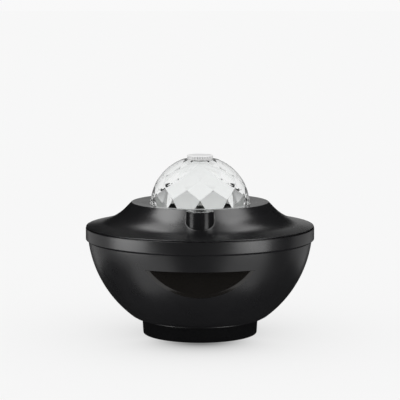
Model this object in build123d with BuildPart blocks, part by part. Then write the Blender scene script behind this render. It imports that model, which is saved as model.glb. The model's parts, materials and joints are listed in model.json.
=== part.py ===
"""Table-top star projector: a bowl on a foot, a dished cover and a gem-cut dome.

Light from four LEDs shines up through a slowly turning ripple disc and the faceted dome.
A laser in the round boss in front shines up through a small turning grating. One gear motor
turns both discs. The loudspeaker faces the table, and the keys and the power inlet are
behind. Millimetres. +Z is up, -Y is the front, and the origin lies on the table under the
middle of the foot.
"""
from build123d import *
from math import atan, cos, pi, radians, sin, sqrt, tan
import os

# --- Foot and base ---
pad_stand = 0.8            # the rubber pads hold the foot ring this far off the table
foot_height = 12.2
foot_radius_low = 41.3
foot_radius_high = 42.1
foot_wall = 2.4
foot_shelf_width = 2.3
foot_shelf_thickness = 1.6
base_recess = 0.4          # base cover above the foot ring's lower edge
base_thickness = 2.4
pad_radius = 4.0
pad_recess = 0.6
base_ring_radius = 32.0    # circle of the pads and of the base screws
sound_field_radius = 15.0
sound_slot_width = 2.2
sound_slot_pitch = 4.4

# --- Bowl ---
bowl_depth = 65.7          # underside of the bowl's floor to the seam under the cover
bowl_overhang = 5.6        # bowl's lower edge outside the foot ring
bowl_curve_radius = 81.07
bowl_wall = 2.6
bowl_land_wall = 2.0       # thinner wall inside the rim ring
bowl_floor = 2.4
bowl_edge_round = 0.8
floor_opening_radius = 22.0
recess_depth = 8.2         # half-moon flats, measured in from the skin at the ledge
ledge_drop = 21.5          # ledge of the flats below the seam
flat_wall = 2.4
window_thickness = 1.5
window_gap = 0.15

# --- Rim ring ---
rim_radius = 82.5
rim_band = 7.2             # straight part of the ring
rim_taper = 2.6            # its narrowing lower edge
rim_wall = 2.5
rim_lip = 0.85             # width of the ring's lower edge
seam_gap = 0.3
rim_round = 0.35

# --- Cover, collar and laser boss ---
cover_inset = 0.3          # cover's edge in from the rim ring
cover_edge = 0.6           # height of the cover's edge above the seam
cover_wall = 2.2
rim_slope = 13.0           # degrees
neck_slope = 46.4          # degrees
knee_radius = 18.0         # hollow curve between the rim slope and the neck
collar_radius = 49.5
collar_rise = 17.7         # collar's top above the seam
collar_lip = 1.2
collar_dish = 1.0          # fall of the collar's top towards the dome
skirt_length = 6.0
skirt_wall = 1.6
slip = 0.2                 # between covers, rings and plates that slide together
snap_count = 6
snap_width = 12.0
snap_height = 1.6
snap_depth = 0.6
boss_wall = 1.5
boss_round = 0.6
boss_roof = 2.2
laser_window_radius = 5.6
laser_window_thickness = 1.2
laser_window_land = 1.0    # ring of the boss's roof that covers the window's edge

# --- Dome ---
dome_radius = 35.9         # of its smooth outside
dome_centre_drop = 3.1     # centre of that sphere below the collar's top
dome_gap = 0.4
flange_width = 4.0
flange_thickness = 1.9
facet_count = 10           # facets in each row round the hollow
girdle_wall = 4.53         # walls are measured from the sphere to the middle of a facet
lower_latitude = 11.0
lower_wall = 5.24
broad_latitude = 33.3
broad_wall = 5.71
upper_latitude = 48.1
upper_wall = 6.68
crown_latitude = 55.4
crown_wall = 6.75
star_latitude = 62.2
star_wall = 6.4
table_depth = 2.3          # flat on the dome's top below the sphere
table_wall = 4.1
vent_hole_radius = 6.2
vent_cap_radius = 9.3
vent_cap_height = 3.2
vent_cap_wall = 1.2
vent_slot_count = 32
vent_slot_width = 0.8
retainer_overhang = 6.6    # retainer beyond the dome's flange
retainer_inside = 26.5     # its ring hides the gear teeth under the dome
retainer_thickness = 2.0
retainer_bite = 1.0        # retainer screws' hole in the collar itself
retainer_margin = 3.2      # retainer screws in from the retainer's edge

# --- Gear train, all on one level ---
module = 0.6
pressure_angle = 20.0
backlash = 0.3
tooth_root = 1.25          # in modules
ripple_teeth = 84
pinion_teeth = 38
grating_teeth = 24
gear_thickness = 3.0
gear_headroom = 2.3        # under the dome's retainer
running_gap = 0.3
shaft_radius = 1.5
shaft_clearance = 0.05

# --- Ripple disc ---
ripple_gear_rim = 1.85     # inside the tooth roots
ripple_ledge = 1.8
ripple_disc_thickness = 2.0
hub_radius = 3.5
hub_below = 1.7            # hub under the gear's lower face
hub_above = 1.0
clip_radius = 3.0
clip_thickness = 0.6
ripple_ring_count = 4
ripple_ring_width = 2.2
ripple_ring_height = 0.5

# --- Laser and its grating ---
grating_disc_radius = 5.9
grating_disc_thickness = 0.8
grating_seat = 0.6
grating_hub_radius = 4.55
beam_radius = 3.2
laser_radius = 6.0
laser_length = 21.0
laser_nose = 1.4
sleeve_wall = 1.35
sleeve_roof = 2.4
laser_ear_reach = 14.0
laser_ear_width = 10.0
laser_ear_thickness = 2.5
laser_screw_reach = 11.0
boss_clearance = 0.4       # grating gear inside the boss

# --- Chassis and optics ---
optics_height = 12.0       # chassis plate to the underside of the gears
chassis_thickness = 2.0
chassis_radius = 66.0
post_radius = 3.2
post_circle = 60.0
post_roof = 2.0
sink_radius = 27.0
sink_thickness = 3.0
sink_pad_radius = 19.8
sink_pad_height = 1.5      # above the chassis plate's underside
sink_screw_circle = 23.8
fin_thickness = 1.4
fin_pitch = 4.6
fin_count = 11
fin_length = 14.0
sink_edge = 1.0
led_board_radius = 19.5
board_thickness = 1.6
led_circle = 10.0
led_size = 3.6
led_base = 0.9
led_dome = 1.3
lens_radius = 6.0
lens_edge = 1.2
lens_rise = 2.8
lens_land = 1.0
lens_seat = 1.0
holder_wall = 1.6
holder_plate = 2.0
holder_height = 4.9        # LED board to the top of the holder's plate
holder_hub_radius = 3.2

# --- Gear motor ---
motor_radius = 9.0
motor_body = 9.5
motor_nose_radius = 4.0
motor_ear_reach = 14.0
motor_ear_width = 7.0
motor_ear_thickness = 1.0
motor_screw_reach = 11.6
shaft_depth = 5.0
shaft_tip = 0.5

# --- Loudspeaker ---
speaker_radius = 20.0
speaker_flange = 1.4
basket_radius = 12.5
basket_depth = 6.0
magnet_radius = 11.5
magnet_thickness = 4.5
cone_thickness = 0.4
surround_width = 3.0
cone_clearance = 0.3
dust_cap_radius = 5.0
speaker_wall = 1.6
speaker_wall_height = 3.0

# --- Boards in the bowl ---
main_board_length = 62.0
main_board_width = 46.0
main_board_lift = 8.6      # above the bowl's floor
board_edge = 4.0           # screws in from the board's edges
capacitor_radius = 3.15
capacitor_height = 8.0
chip_size = 9.0
chip_height = 1.4
plug_length = 8.0
plug_width = 5.0
plug_height = 6.0
standoff_radius = 2.4

# --- Keys and power inlet at the back, remote receiver at the front ---
button_radius = 3.5
button_stand = 1.2         # buttons stand out of the flat
button_travel = 0.8
button_gap = 0.3
press_gap = 0.1            # left over the plunger when a button is fully in
button_flange = 1.1
button_flange_thickness = 1.0
button_pitch = 10.0
button_count = 4
button_drop = 6.7          # below the ledge
plunger_radius = 1.7
plunger_height = 0.5
switch_size = 6.0
switch_height = 3.4
key_board_length = 55.0
key_board_above = 4.5      # above the buttons' row
key_board_below = 10.5
key_screw_reach = 24.0
key_screw_rise = 2.0
inlet_drop = 14.2          # below the ledge
inlet_width = 8.94
inlet_height = 3.26
inlet_shell = 0.3
inlet_set_back = 0.6
inlet_back = 1.5
inlet_tongue = 0.7
receiver_drop = 9.2        # below the ledge
receiver_size = 6.0
receiver_depth = 3.0
receiver_lens_radius = 2.4
receiver_hole_radius = 3.2
receiver_board_length = 21.0
receiver_board_height = 10.0
receiver_screw_reach = 7.8
receiver_lift = 4.6        # board behind the flat's inner face

# --- Screws ---
screw_radius = 1.1
screw_hole_gap = 0.05
screw_head_radius = 2.0
screw_head_height = 1.3
screw_slot = 0.5
screw_slot_depth = 0.6

base_screw_grip = 5.0      # thread in the boss
chassis_screw_grip = 6.0

# --- Heights that follow from the sizes above ---
base_bottom = pad_stand + base_recess
base_top = base_bottom + base_thickness
bowl_bottom = pad_stand + foot_height
floor_top = bowl_bottom + bowl_floor
seam_height = bowl_bottom + bowl_depth
ledge_height = seam_height - ledge_drop
collar_height = seam_height + collar_rise
collar_underside = collar_height - collar_dish - cover_wall
flange_bottom = collar_underside - flange_thickness
retainer_bottom = flange_bottom - retainer_thickness
gear_top = retainer_bottom - gear_headroom
gear_bottom = gear_top - gear_thickness
chassis_top = gear_bottom - optics_height
chassis_bottom = chassis_top - chassis_thickness
dome_centre_height = collar_height - dome_centre_drop
dome_top = dome_centre_height + dome_radius - table_depth
facet_turn = 360 / facet_count

# --- Plan positions that follow from the gears ---
pinion_y = -module * (ripple_teeth + pinion_teeth) / 2
laser_y = pinion_y - module * (pinion_teeth + grating_teeth) / 2
grating_outer_radius = module * (grating_teeth / 2 + 1)
boss_hollow_radius = grating_outer_radius + boss_clearance
boss_radius = boss_hollow_radius + boss_wall

UP = (Align.CENTER, Align.CENTER, Align.MIN)
DOWN = (Align.CENTER, Align.CENTER, Align.MAX)


def circle_centre(low, high, radius):
    """Centre of the arc of the given radius through two points, on the side of the axis."""
    half_r = (high[0] - low[0]) / 2
    half_z = (high[1] - low[1]) / 2
    half = sqrt(half_r**2 + half_z**2)
    reach = sqrt(radius**2 - half**2)
    return (low[0] + half_r - reach * half_z / half, low[1] + half_z + reach * half_r / half)


# --- Bowl outline: one arc from the lower edge to the step under the rim ring ---
bowl_foot_radius = foot_radius_high + bowl_overhang
rim_top = seam_height - seam_gap
rim_step = rim_top - rim_band - rim_taper
land_radius = rim_radius - rim_wall - slip
cover_radius = rim_radius - cover_inset
step_radius = rim_radius - rim_wall + rim_lip - slip
curve_r, curve_z = circle_centre(
    (bowl_foot_radius, bowl_bottom), (step_radius, rim_step), bowl_curve_radius
)


def skin_radius(height, inset=0.0):
    """Radius of the bowl's skin at a height, or of a surface that lies inset behind it."""
    return curve_r + sqrt((bowl_curve_radius - inset) ** 2 - (curve_z - height) ** 2)


flat_distance = skin_radius(ledge_height) - recess_depth
window_seat = flat_distance - window_thickness
rear_wall_inside = flat_distance - flat_wall
front_wall_inside = window_seat - flat_wall
mouth_radius = land_radius - bowl_land_wall


def cover_lines(inset):
    """Edge, knee and collar corner of the cover's outline, drawn inset behind its skin."""
    edge_z = seam_height + cover_edge - inset / cos(radians(rim_slope))
    neck_shift = inset / sin(radians(neck_slope))
    top_z = collar_height - inset
    rim_fall = tan(radians(rim_slope))
    neck_fall = tan(radians(neck_slope))
    neck_r = collar_radius - neck_shift
    knee_r = (collar_height + neck_fall * neck_r - edge_z - rim_fall * cover_radius) / (
        neck_fall - rim_fall
    )
    knee_z = edge_z + rim_fall * (cover_radius - knee_r)
    corner_r = neck_r + (collar_height - top_z) / neck_fall
    return (cover_radius, edge_z), (knee_r, knee_z), (corner_r, top_z)


def cover_underside(radius):
    """Height of the cover's inner face on the neck or on the rim slope."""
    edge, knee, corner = cover_lines(cover_wall)
    if radius > knee[0]:
        return edge[1] + tan(radians(rim_slope)) * (edge[0] - radius)
    return min(corner[1], knee[1] + tan(radians(neck_slope)) * (knee[0] - radius))


def gear_outline(teeth, phase):
    """Corner points of a spur gear: root, pitch and tip point on both flanks of each tooth.

    A flank follows the involute: half the tooth's angle at radius r is half the pitch
    thickness plus inv(pressure angle) less inv(angle at r), where inv(a) is tan a less a.
    """
    pitch_radius = module * teeth / 2
    base_radius = pitch_radius * cos(radians(pressure_angle))
    root_radius = pitch_radius - tooth_root * module
    tip_radius = pitch_radius + module

    def half_angle(radius):
        flank = sqrt(max(radius, base_radius) ** 2 - base_radius**2) / base_radius
        pitch_flank = tan(radians(pressure_angle))
        at_pitch = (pi * module / 2 - backlash) / 2 / pitch_radius
        return at_pitch + pitch_flank - radians(pressure_angle) - (flank - atan(flank))

    points = []
    for tooth in range(teeth):
        middle = radians(phase) + 2 * pi * tooth / teeth
        for side, row in ((-1, (root_radius, pitch_radius, tip_radius)),
                          (1, (tip_radius, pitch_radius, root_radius))):
            for radius in row:
                angle = middle + side * half_angle(radius)
                points.append((radius * cos(angle), radius * sin(angle)))
    return points


def screw(length):
    """Pan-head screw: the shank points up from the underside of its head at the origin."""
    with BuildPart() as one_screw:
        Cylinder(screw_radius, length, align=UP)
        Cylinder(screw_head_radius, screw_head_height, align=DOWN)
        with Locations((0, 0, -screw_head_height)):
            Box(2.4 * screw_radius, screw_slot, screw_slot_depth, align=UP, mode=Mode.SUBTRACT)
            Box(screw_slot, 2.4 * screw_radius, screw_slot_depth, align=UP, mode=Mode.SUBTRACT)
    return one_screw.part


def board_corners():
    """Screw places of the main board."""
    return GridLocations(
        main_board_length - 2 * board_edge, main_board_width - 2 * board_edge, 2, 2
    )


def button_row():
    """Places of the four keys along their row."""
    return GridLocations(button_pitch, 1, button_count, 1)


def save(part, name):
    """Label a finished piece and write it as one STEP file."""
    part.label = name
    export_step(part, f"parts/{name}.step")


os.makedirs("parts", exist_ok=True)

hole_radius = screw_radius + screw_hole_gap

# --- Foot ring: tapered band with an inner shelf that the base cover clamps ---
foot_inside = foot_radius_low - foot_wall
shelf_inside = foot_inside - foot_shelf_width
with BuildPart() as foot_ring:
    with BuildSketch(Plane.XZ):
        with BuildLine():
            Polyline(
                (foot_inside, pad_stand),
                (foot_radius_low, pad_stand),
                (foot_radius_high, bowl_bottom),
                (foot_inside, bowl_bottom),
                (foot_inside, base_top + foot_shelf_thickness),
                (shelf_inside, base_top + foot_shelf_thickness),
                (shelf_inside, base_top),
                (foot_inside, base_top),
                close=True,
            )
        make_face()
    revolve(axis=Axis.Z)
    outer_edges = foot_ring.edges().filter_by(GeomType.CIRCLE).sort_by(SortBy.RADIUS)[-2:]
    fillet(outer_edges, radius=bowl_edge_round / 2)
save(foot_ring.part, "foot_ring")

# --- Base cover: screws, pad seats and the sound slots under the loudspeaker ---
with BuildPart() as base_cover:
    with BuildSketch(Plane.XY.offset(base_bottom)):
        Circle(foot_inside - slip)
    extrude(amount=base_thickness)
    with BuildSketch(Plane.XY.offset(base_top)):
        Circle(speaker_radius + slip + speaker_wall)
        Circle(speaker_radius + slip, mode=Mode.SUBTRACT)
    extrude(amount=speaker_wall_height)
    with BuildSketch(Plane.XY.offset(base_bottom)):
        slots_each_side = int(sound_field_radius / sound_slot_pitch)
        for row in range(-slots_each_side, slots_each_side + 1):
            slot_y = row * sound_slot_pitch
            with Locations((0, slot_y)):
                SlotOverall(2 * sqrt(sound_field_radius**2 - slot_y**2), sound_slot_width)
    extrude(amount=base_thickness, mode=Mode.SUBTRACT)
    with Locations((0, 0, base_bottom)):
        with PolarLocations(base_ring_radius, 4):
            Cylinder(pad_radius + slip, pad_recess, align=UP, mode=Mode.SUBTRACT)
        with PolarLocations(base_ring_radius, 4, start_angle=45):
            Cylinder(hole_radius, base_thickness, align=UP, mode=Mode.SUBTRACT)
            Cylinder(
                screw_head_radius + slip, screw_head_height, align=UP, mode=Mode.SUBTRACT
            )
save(base_cover.part, "base_cover")

with BuildPart() as rubber_pads:
    with PolarLocations(base_ring_radius, 4):
        Cylinder(pad_radius, base_bottom + pad_recess, align=UP)
    fillet(rubber_pads.edges().group_by(Axis.Z)[0], radius=bowl_edge_round / 2)
save(rubber_pads.part, "rubber_pads")

base_screw_length = base_thickness - screw_head_height + base_screw_grip
with BuildPart() as base_screws:
    with Locations((0, 0, base_bottom + screw_head_height)):
        with PolarLocations(base_ring_radius, 4, start_angle=45):
            add(screw(base_screw_length))
save(base_screws.part, "base_screws")

# --- Bowl ---
main_board_bottom = floor_top + main_board_lift
key_row_height = ledge_height - button_drop
inlet_row_height = ledge_height - inlet_drop
receiver_row_height = ledge_height - receiver_drop
button_back = rear_wall_inside - button_gap - button_flange_thickness
key_board_face = button_back - button_travel - press_gap - plunger_height - switch_height
receiver_board_face = -(front_wall_inside - receiver_lift)
above_ledge = 2.0 * bowl_depth

with BuildPart() as bowl_hollow:
    cavity_edge = curve_z - sqrt((bowl_curve_radius - bowl_wall) ** 2 - (mouth_radius - curve_r) ** 2)
    middle_height = (floor_top + cavity_edge) / 2
    with BuildSketch(Plane.XZ):
        with BuildLine():
            wall_arc = ThreePointArc(
                (skin_radius(floor_top, bowl_wall), floor_top),
                (skin_radius(middle_height, bowl_wall), middle_height),
                (mouth_radius, cavity_edge),
            )
            Polyline(
                wall_arc @ 1,
                (mouth_radius, seam_height),
                (0, seam_height),
                (0, floor_top),
                wall_arc @ 0,
            )
        make_face()
    revolve(axis=Axis.Z)
    with Locations((0, rear_wall_inside, ledge_height + bowl_wall)):
        Box(
            2 * rim_radius, rim_radius, above_ledge,
            align=(Align.CENTER, Align.MIN, Align.MAX), mode=Mode.SUBTRACT,
        )
    with Locations((0, -front_wall_inside, ledge_height + bowl_wall)):
        Box(
            2 * rim_radius, rim_radius, above_ledge,
            align=(Align.CENTER, Align.MAX, Align.MAX), mode=Mode.SUBTRACT,
        )

with BuildPart() as bowl:
    middle_height = (bowl_bottom + rim_step) / 2
    with BuildSketch(Plane.XZ):
        with BuildLine():
            skin_arc = ThreePointArc(
                (bowl_foot_radius, bowl_bottom),
                (skin_radius(middle_height), middle_height),
                (step_radius, rim_step),
            )
            Polyline(
                skin_arc @ 1,
                (land_radius, rim_step),
                (land_radius, rim_top),
                (0, rim_top),
                (0, bowl_bottom),
                skin_arc @ 0,
            )
        make_face()
    revolve(axis=Axis.Z)
    lower_edge = bowl.edges().filter_by(GeomType.CIRCLE).group_by(Axis.Z)[0]
    fillet(lower_edge, radius=bowl_edge_round)
    # half-moon flats, behind for the keys and deeper in front for the window panel
    with Locations((0, flat_distance, ledge_height)):
        Box(
            2 * rim_radius, rim_radius, above_ledge,
            align=(Align.CENTER, Align.MIN, Align.MAX), mode=Mode.SUBTRACT,
        )
    with Locations((0, -window_seat, ledge_height)):
        Box(
            2 * rim_radius, rim_radius, above_ledge,
            align=(Align.CENTER, Align.MAX, Align.MAX), mode=Mode.SUBTRACT,
        )
    add(bowl_hollow.part, mode=Mode.SUBTRACT)
    # opening over the loudspeaker, screw bosses under the floor and board posts on it
    with Locations((0, 0, bowl_bottom)):
        Cylinder(floor_opening_radius, bowl_floor, align=UP, mode=Mode.SUBTRACT)
    with Locations((0, 0, base_top)):
        with PolarLocations(base_ring_radius, 4, start_angle=45):
            Cylinder(post_radius, bowl_bottom - base_top, align=UP)
            Cylinder(hole_radius, bowl_bottom - base_top, align=UP, mode=Mode.SUBTRACT)
    with Locations((0, 0, floor_top)):
        with board_corners():
            Cylinder(standoff_radius, main_board_lift, align=UP)
            Cylinder(hole_radius, main_board_lift, align=UP, mode=Mode.SUBTRACT)
    # keys, inlet and key board bosses
    with BuildSketch(Plane.XZ.offset(-rear_wall_inside)):
        with Locations((0, key_row_height)):
            with button_row():
                Circle(button_radius + button_gap)
        with Locations((0, inlet_row_height)):
            SlotOverall(inlet_width + 2 * slip, inlet_height + 2 * slip)
    extrude(amount=-flat_wall, mode=Mode.SUBTRACT)
    with BuildSketch(Plane.XZ.offset(-key_board_face)):
        with Locations((-key_screw_reach, key_row_height + key_screw_rise),
                       (key_screw_reach, key_row_height + key_screw_rise)):
            Circle(standoff_radius)
            Circle(hole_radius, mode=Mode.SUBTRACT)
    extrude(amount=key_board_face - rear_wall_inside)
    # receiver's sight hole and the bosses of its board
    with BuildSketch(Plane.XZ.offset(front_wall_inside)):
        with Locations((0, receiver_row_height)):
            Circle(receiver_hole_radius)
    extrude(amount=flat_wall, mode=Mode.SUBTRACT)
    with BuildSketch(Plane.XZ.offset(-receiver_board_face)):
        with Locations((-receiver_screw_reach, receiver_row_height),
                       (receiver_screw_reach, receiver_row_height)):
            Circle(standoff_radius)
            Circle(hole_radius, mode=Mode.SUBTRACT)
    extrude(amount=front_wall_inside + receiver_board_face)
    # groove for the cover's snap hooks
    groove_top = seam_height - skirt_length + snap_height
    with BuildSketch(Plane.XZ):
        with Locations((mouth_radius - slip, groove_top)):
            Rectangle(
                snap_depth + 2 * slip, snap_height + 2 * slip, align=(Align.MIN, Align.MAX)
            )
    revolve(axis=Axis.Z, mode=Mode.SUBTRACT)
save(bowl.part, "bowl")

# --- Smoked window panel: half-moon that fills the front flat flush with the skin ---
with BuildPart() as front_window:
    middle_height = (bowl_bottom + rim_step) / 2
    with BuildSketch(Plane.XZ):
        with BuildLine():
            panel_arc = ThreePointArc(
                (skin_radius(bowl_bottom), bowl_bottom),
                (skin_radius(middle_height), middle_height),
                (skin_radius(ledge_height - window_gap), ledge_height - window_gap),
            )
            Polyline(panel_arc @ 1, (0, ledge_height - window_gap), (0, bowl_bottom), panel_arc @ 0)
        make_face()
    revolve(axis=Axis.Z)
    with Locations((0, -window_seat - window_thickness / 2, bowl_bottom)):
        Box(2 * rim_radius, window_thickness, bowl_depth,
            align=(Align.CENTER, Align.CENTER, Align.MIN), mode=Mode.INTERSECT)
save(front_window.part, "front_window")

# --- Rim ring round the mouth of the bowl ---
with BuildPart() as rim_ring:
    with BuildSketch(Plane.XZ):
        with BuildLine():
            Polyline(
                (rim_radius - rim_wall, rim_step),
                (rim_radius - rim_wall + rim_lip, rim_step),
                (rim_radius, rim_step + rim_taper),
                (rim_radius, rim_top),
                (rim_radius - rim_wall, rim_top),
                close=True,
            )
        make_face()
    revolve(axis=Axis.Z)
    top_edge = rim_ring.edges().filter_by(GeomType.CIRCLE).group_by(Axis.Z)[-1]
    fillet(top_edge.sort_by(SortBy.RADIUS)[-1], radius=rim_round)
save(rim_ring.part, "rim_ring")

# --- Top cover: rim slope, hollow neck, dished collar and the laser boss in one moulding ---
skirt_radius = mouth_radius - slip
dome_opening_radius = dome_radius + dome_gap
retainer_radius = dome_radius + flange_width + retainer_overhang
retainer_screw_circle = retainer_radius - retainer_margin
post_top = cover_underside(post_circle) + cover_wall / 2
window_roof = collar_height - laser_window_land


def cover_section(inset, floor):
    """Half section of the solid under the cover's skin, inset behind it, down to a floor."""
    edge, knee, corner = cover_lines(inset)
    with BuildSketch(Plane.XZ) as section:
        with BuildLine():
            Polyline((0, floor), (edge[0], floor), edge, knee, corner, (0, corner[1]), close=True)
        make_face()
        fillet(section.vertices().filter_by(lambda v: abs(v.X - knee[0]) < 0.01),
               knee_radius + inset)
    return section.sketch


with BuildPart() as cover_hollow:
    add(cover_section(cover_wall, seam_height - 2 * cover_wall))
    revolve(axis=Axis.Z)
    with Locations((0, 0, collar_underside)):
        Cylinder(rim_radius, 2 * collar_rise, align=UP, mode=Mode.SUBTRACT)

with BuildPart() as laser_boss:
    with Locations((0, laser_y, seam_height + cover_wall)):
        Cylinder(boss_radius, collar_rise - cover_wall, align=UP)
    fillet(laser_boss.edges().group_by(Axis.Z)[-1], radius=boss_round)

with BuildPart() as top_cover:
    add(cover_section(0, seam_height))
    revolve(axis=Axis.Z)
    collar_edge = top_cover.edges().filter_by(GeomType.CIRCLE).group_by(Axis.Z)[-1]
    fillet(collar_edge, radius=collar_lip)
    rim_edge = top_cover.edges().filter_by(GeomType.CIRCLE).sort_by(SortBy.RADIUS)[-2:]
    fillet(rim_edge.sort_by(Axis.Z)[-1], radius=rim_round)
    # the collar's top falls towards the dome
    dish_edge = collar_radius - collar_lip
    with BuildSketch(Plane.XZ):
        with BuildLine():
            Polyline(
                (0, collar_height),
                (dish_edge, collar_height),
                (dome_opening_radius, collar_height - collar_dish),
                (0, collar_height - collar_dish),
                close=True,
            )
        make_face()
    revolve(axis=Axis.Z, mode=Mode.SUBTRACT)
    add(laser_boss.part)
    add(cover_hollow.part, mode=Mode.SUBTRACT)
    with Locations((0, laser_y, seam_height)):
        Cylinder(
            boss_hollow_radius, collar_rise - boss_roof, align=UP, mode=Mode.SUBTRACT
        )
    with Locations((0, laser_y, window_roof)):
        Cylinder(
            laser_window_radius + slip, collar_rise, align=DOWN, mode=Mode.SUBTRACT
        )
        Cylinder(
            laser_window_radius - laser_window_land, laser_window_land, align=UP,
            mode=Mode.SUBTRACT,
        )
    with Locations((0, 0, seam_height)):
        Cylinder(dome_opening_radius, collar_rise, align=UP, mode=Mode.SUBTRACT)
    # skirt that slides into the bowl, with its snap hooks
    skirt_root = max(seam_height, cover_underside(skirt_radius - skirt_wall))
    skirt_top = skirt_root + cover_wall / 4
    with BuildSketch(Plane.XY.offset(seam_height - skirt_length)):
        Circle(skirt_radius)
        Circle(skirt_radius - skirt_wall, mode=Mode.SUBTRACT)
    extrude(amount=skirt_length + skirt_top - seam_height)
    with PolarLocations(skirt_radius - skirt_wall / 2, snap_count):
        with Locations((0, 0, seam_height - skirt_length)):
            Box(skirt_wall + 2 * snap_depth, snap_width, snap_height, align=UP)
    # posts for the chassis and bosses for the dome's retainer
    with Locations((0, 0, chassis_top)):
        with PolarLocations(post_circle, 4, start_angle=45):
            Cylinder(post_radius, post_top - chassis_top, align=UP)
            Cylinder(hole_radius, post_top - chassis_top - post_roof, align=UP, mode=Mode.SUBTRACT)
    with Locations((0, 0, retainer_bottom + retainer_thickness)):
        with PolarLocations(retainer_screw_circle, 4, start_angle=45):
            Cylinder(standoff_radius, flange_thickness, align=UP)
            Cylinder(hole_radius, flange_thickness + retainer_bite, align=UP, mode=Mode.SUBTRACT)
save(top_cover.part, "top_cover")

with BuildPart() as laser_window:
    with Locations((0, laser_y, window_roof)):
        Cylinder(laser_window_radius, laser_window_thickness, align=DOWN)
save(laser_window.part, "laser_window")


# --- Crystal dome: smooth outside, its hollow cut by rows of flat facets, staggered row by row ---
def cut_facet(azimuth, latitude, wall):
    """Cut the current part flat: the facet looks outward at an azimuth from the front."""
    across = cos(radians(latitude))
    outward = Vector(
        across * sin(radians(azimuth)), -across * cos(radians(azimuth)), sin(radians(latitude))
    )
    middle = Vector(0, 0, dome_centre_height) + outward * (dome_radius - wall)
    split(bisect_by=Plane(origin=middle, z_dir=outward), keep=Keep.BOTTOM)


with BuildPart() as dome_hollow:
    with BuildSketch(Plane.XY.offset(flange_bottom)):
        RegularPolygon(
            dome_radius - girdle_wall, facet_count, major_radius=False,
            rotation=-90 - facet_turn / 2,
        )
    extrude(amount=dome_top - table_wall - flange_bottom)
    for step in range(facet_count):
        front = step * facet_turn
        between = front + facet_turn / 2
        cut_facet(between, lower_latitude, lower_wall)
        cut_facet(front, broad_latitude, broad_wall)
        cut_facet(between, upper_latitude, upper_wall)
        cut_facet(front, crown_latitude, crown_wall)
        cut_facet(between, star_latitude, star_wall)

with BuildPart() as crystal_dome:
    with Locations((0, 0, dome_centre_height)):
        Sphere(dome_radius)
    split(bisect_by=Plane.XY.offset(dome_centre_height), keep=Keep.TOP)
    with Locations((0, 0, dome_centre_height)):
        Cylinder(dome_radius, dome_centre_height - flange_bottom, align=DOWN)
    split(bisect_by=Plane.XY.offset(dome_top), keep=Keep.BOTTOM)
    with Locations((0, 0, flange_bottom)):
        Cylinder(dome_radius + flange_width, flange_thickness, align=UP)
    add(dome_hollow.part, mode=Mode.SUBTRACT)
    with Locations((0, 0, dome_centre_height)):
        Cylinder(vent_hole_radius, dome_radius, align=UP, mode=Mode.SUBTRACT)
save(crystal_dome.part, "crystal_dome")

# --- Vent cap: a shallow cup over the dome's hole, with slots round its wall ---
with BuildPart() as vent_cap:
    with Locations((0, 0, dome_top)):
        Cylinder(vent_cap_radius, vent_cap_height, align=UP)
        Cylinder(
            vent_cap_radius - vent_cap_wall, vent_cap_height - vent_cap_wall, align=UP,
            mode=Mode.SUBTRACT,
        )
        with BuildSketch(Plane.XY.offset(dome_top + vent_cap_wall / 2)):
            with PolarLocations(vent_cap_radius, vent_slot_count):
                Rectangle(3 * vent_cap_wall, vent_slot_width)
        extrude(amount=vent_cap_height - 1.5 * vent_cap_wall, mode=Mode.SUBTRACT)
save(vent_cap.part, "vent_cap")

# --- Dome retainer: ring screwed up under the collar, which holds the dome's flange ---
with BuildPart() as dome_retainer:
    with BuildSketch(Plane.XY.offset(retainer_bottom)):
        Circle(retainer_radius)
        Circle(retainer_inside, mode=Mode.SUBTRACT)
        with PolarLocations(retainer_screw_circle, 4, start_angle=45):
            Circle(hole_radius, mode=Mode.SUBTRACT)
    extrude(amount=retainer_thickness)
save(dome_retainer.part, "dome_retainer")

with BuildPart() as retainer_screws:
    with Locations((0, 0, retainer_bottom)):
        with PolarLocations(retainer_screw_circle, 4, start_angle=45):
            add(screw(retainer_thickness + flange_thickness))
save(retainer_screws.part, "retainer_screws")

# --- Chassis plate, hung from the cover's posts ---
barrel_hole_radius = laser_radius + slip
with BuildPart() as chassis_plate:
    with BuildSketch(Plane.XY.offset(chassis_bottom)):
        Circle(chassis_radius)
        Circle(sink_pad_radius + slip, mode=Mode.SUBTRACT)
        with Locations((0, laser_y)):
            Circle(barrel_hole_radius, mode=Mode.SUBTRACT)
        with PolarLocations(post_circle, 4, start_angle=45):
            Circle(hole_radius, mode=Mode.SUBTRACT)
        with PolarLocations(sink_screw_circle, 4, start_angle=45):
            Circle(hole_radius, mode=Mode.SUBTRACT)
        with Locations((-motor_screw_reach, pinion_y), (motor_screw_reach, pinion_y),
                       (-laser_screw_reach, laser_y), (laser_screw_reach, laser_y)):
            Circle(hole_radius, mode=Mode.SUBTRACT)
        with PolarLocations((sink_radius + chassis_radius) / 2, 3, start_angle=0,
                            angular_range=180, endpoint=True):
            Circle(post_radius, mode=Mode.SUBTRACT)
    extrude(amount=chassis_thickness)
save(chassis_plate.part, "chassis_plate")

with BuildPart() as chassis_screws:
    with Locations((0, 0, chassis_bottom)):
        with PolarLocations(post_circle, 4, start_angle=45):
            add(screw(chassis_thickness + chassis_screw_grip))
save(chassis_screws.part, "chassis_screws")

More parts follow.
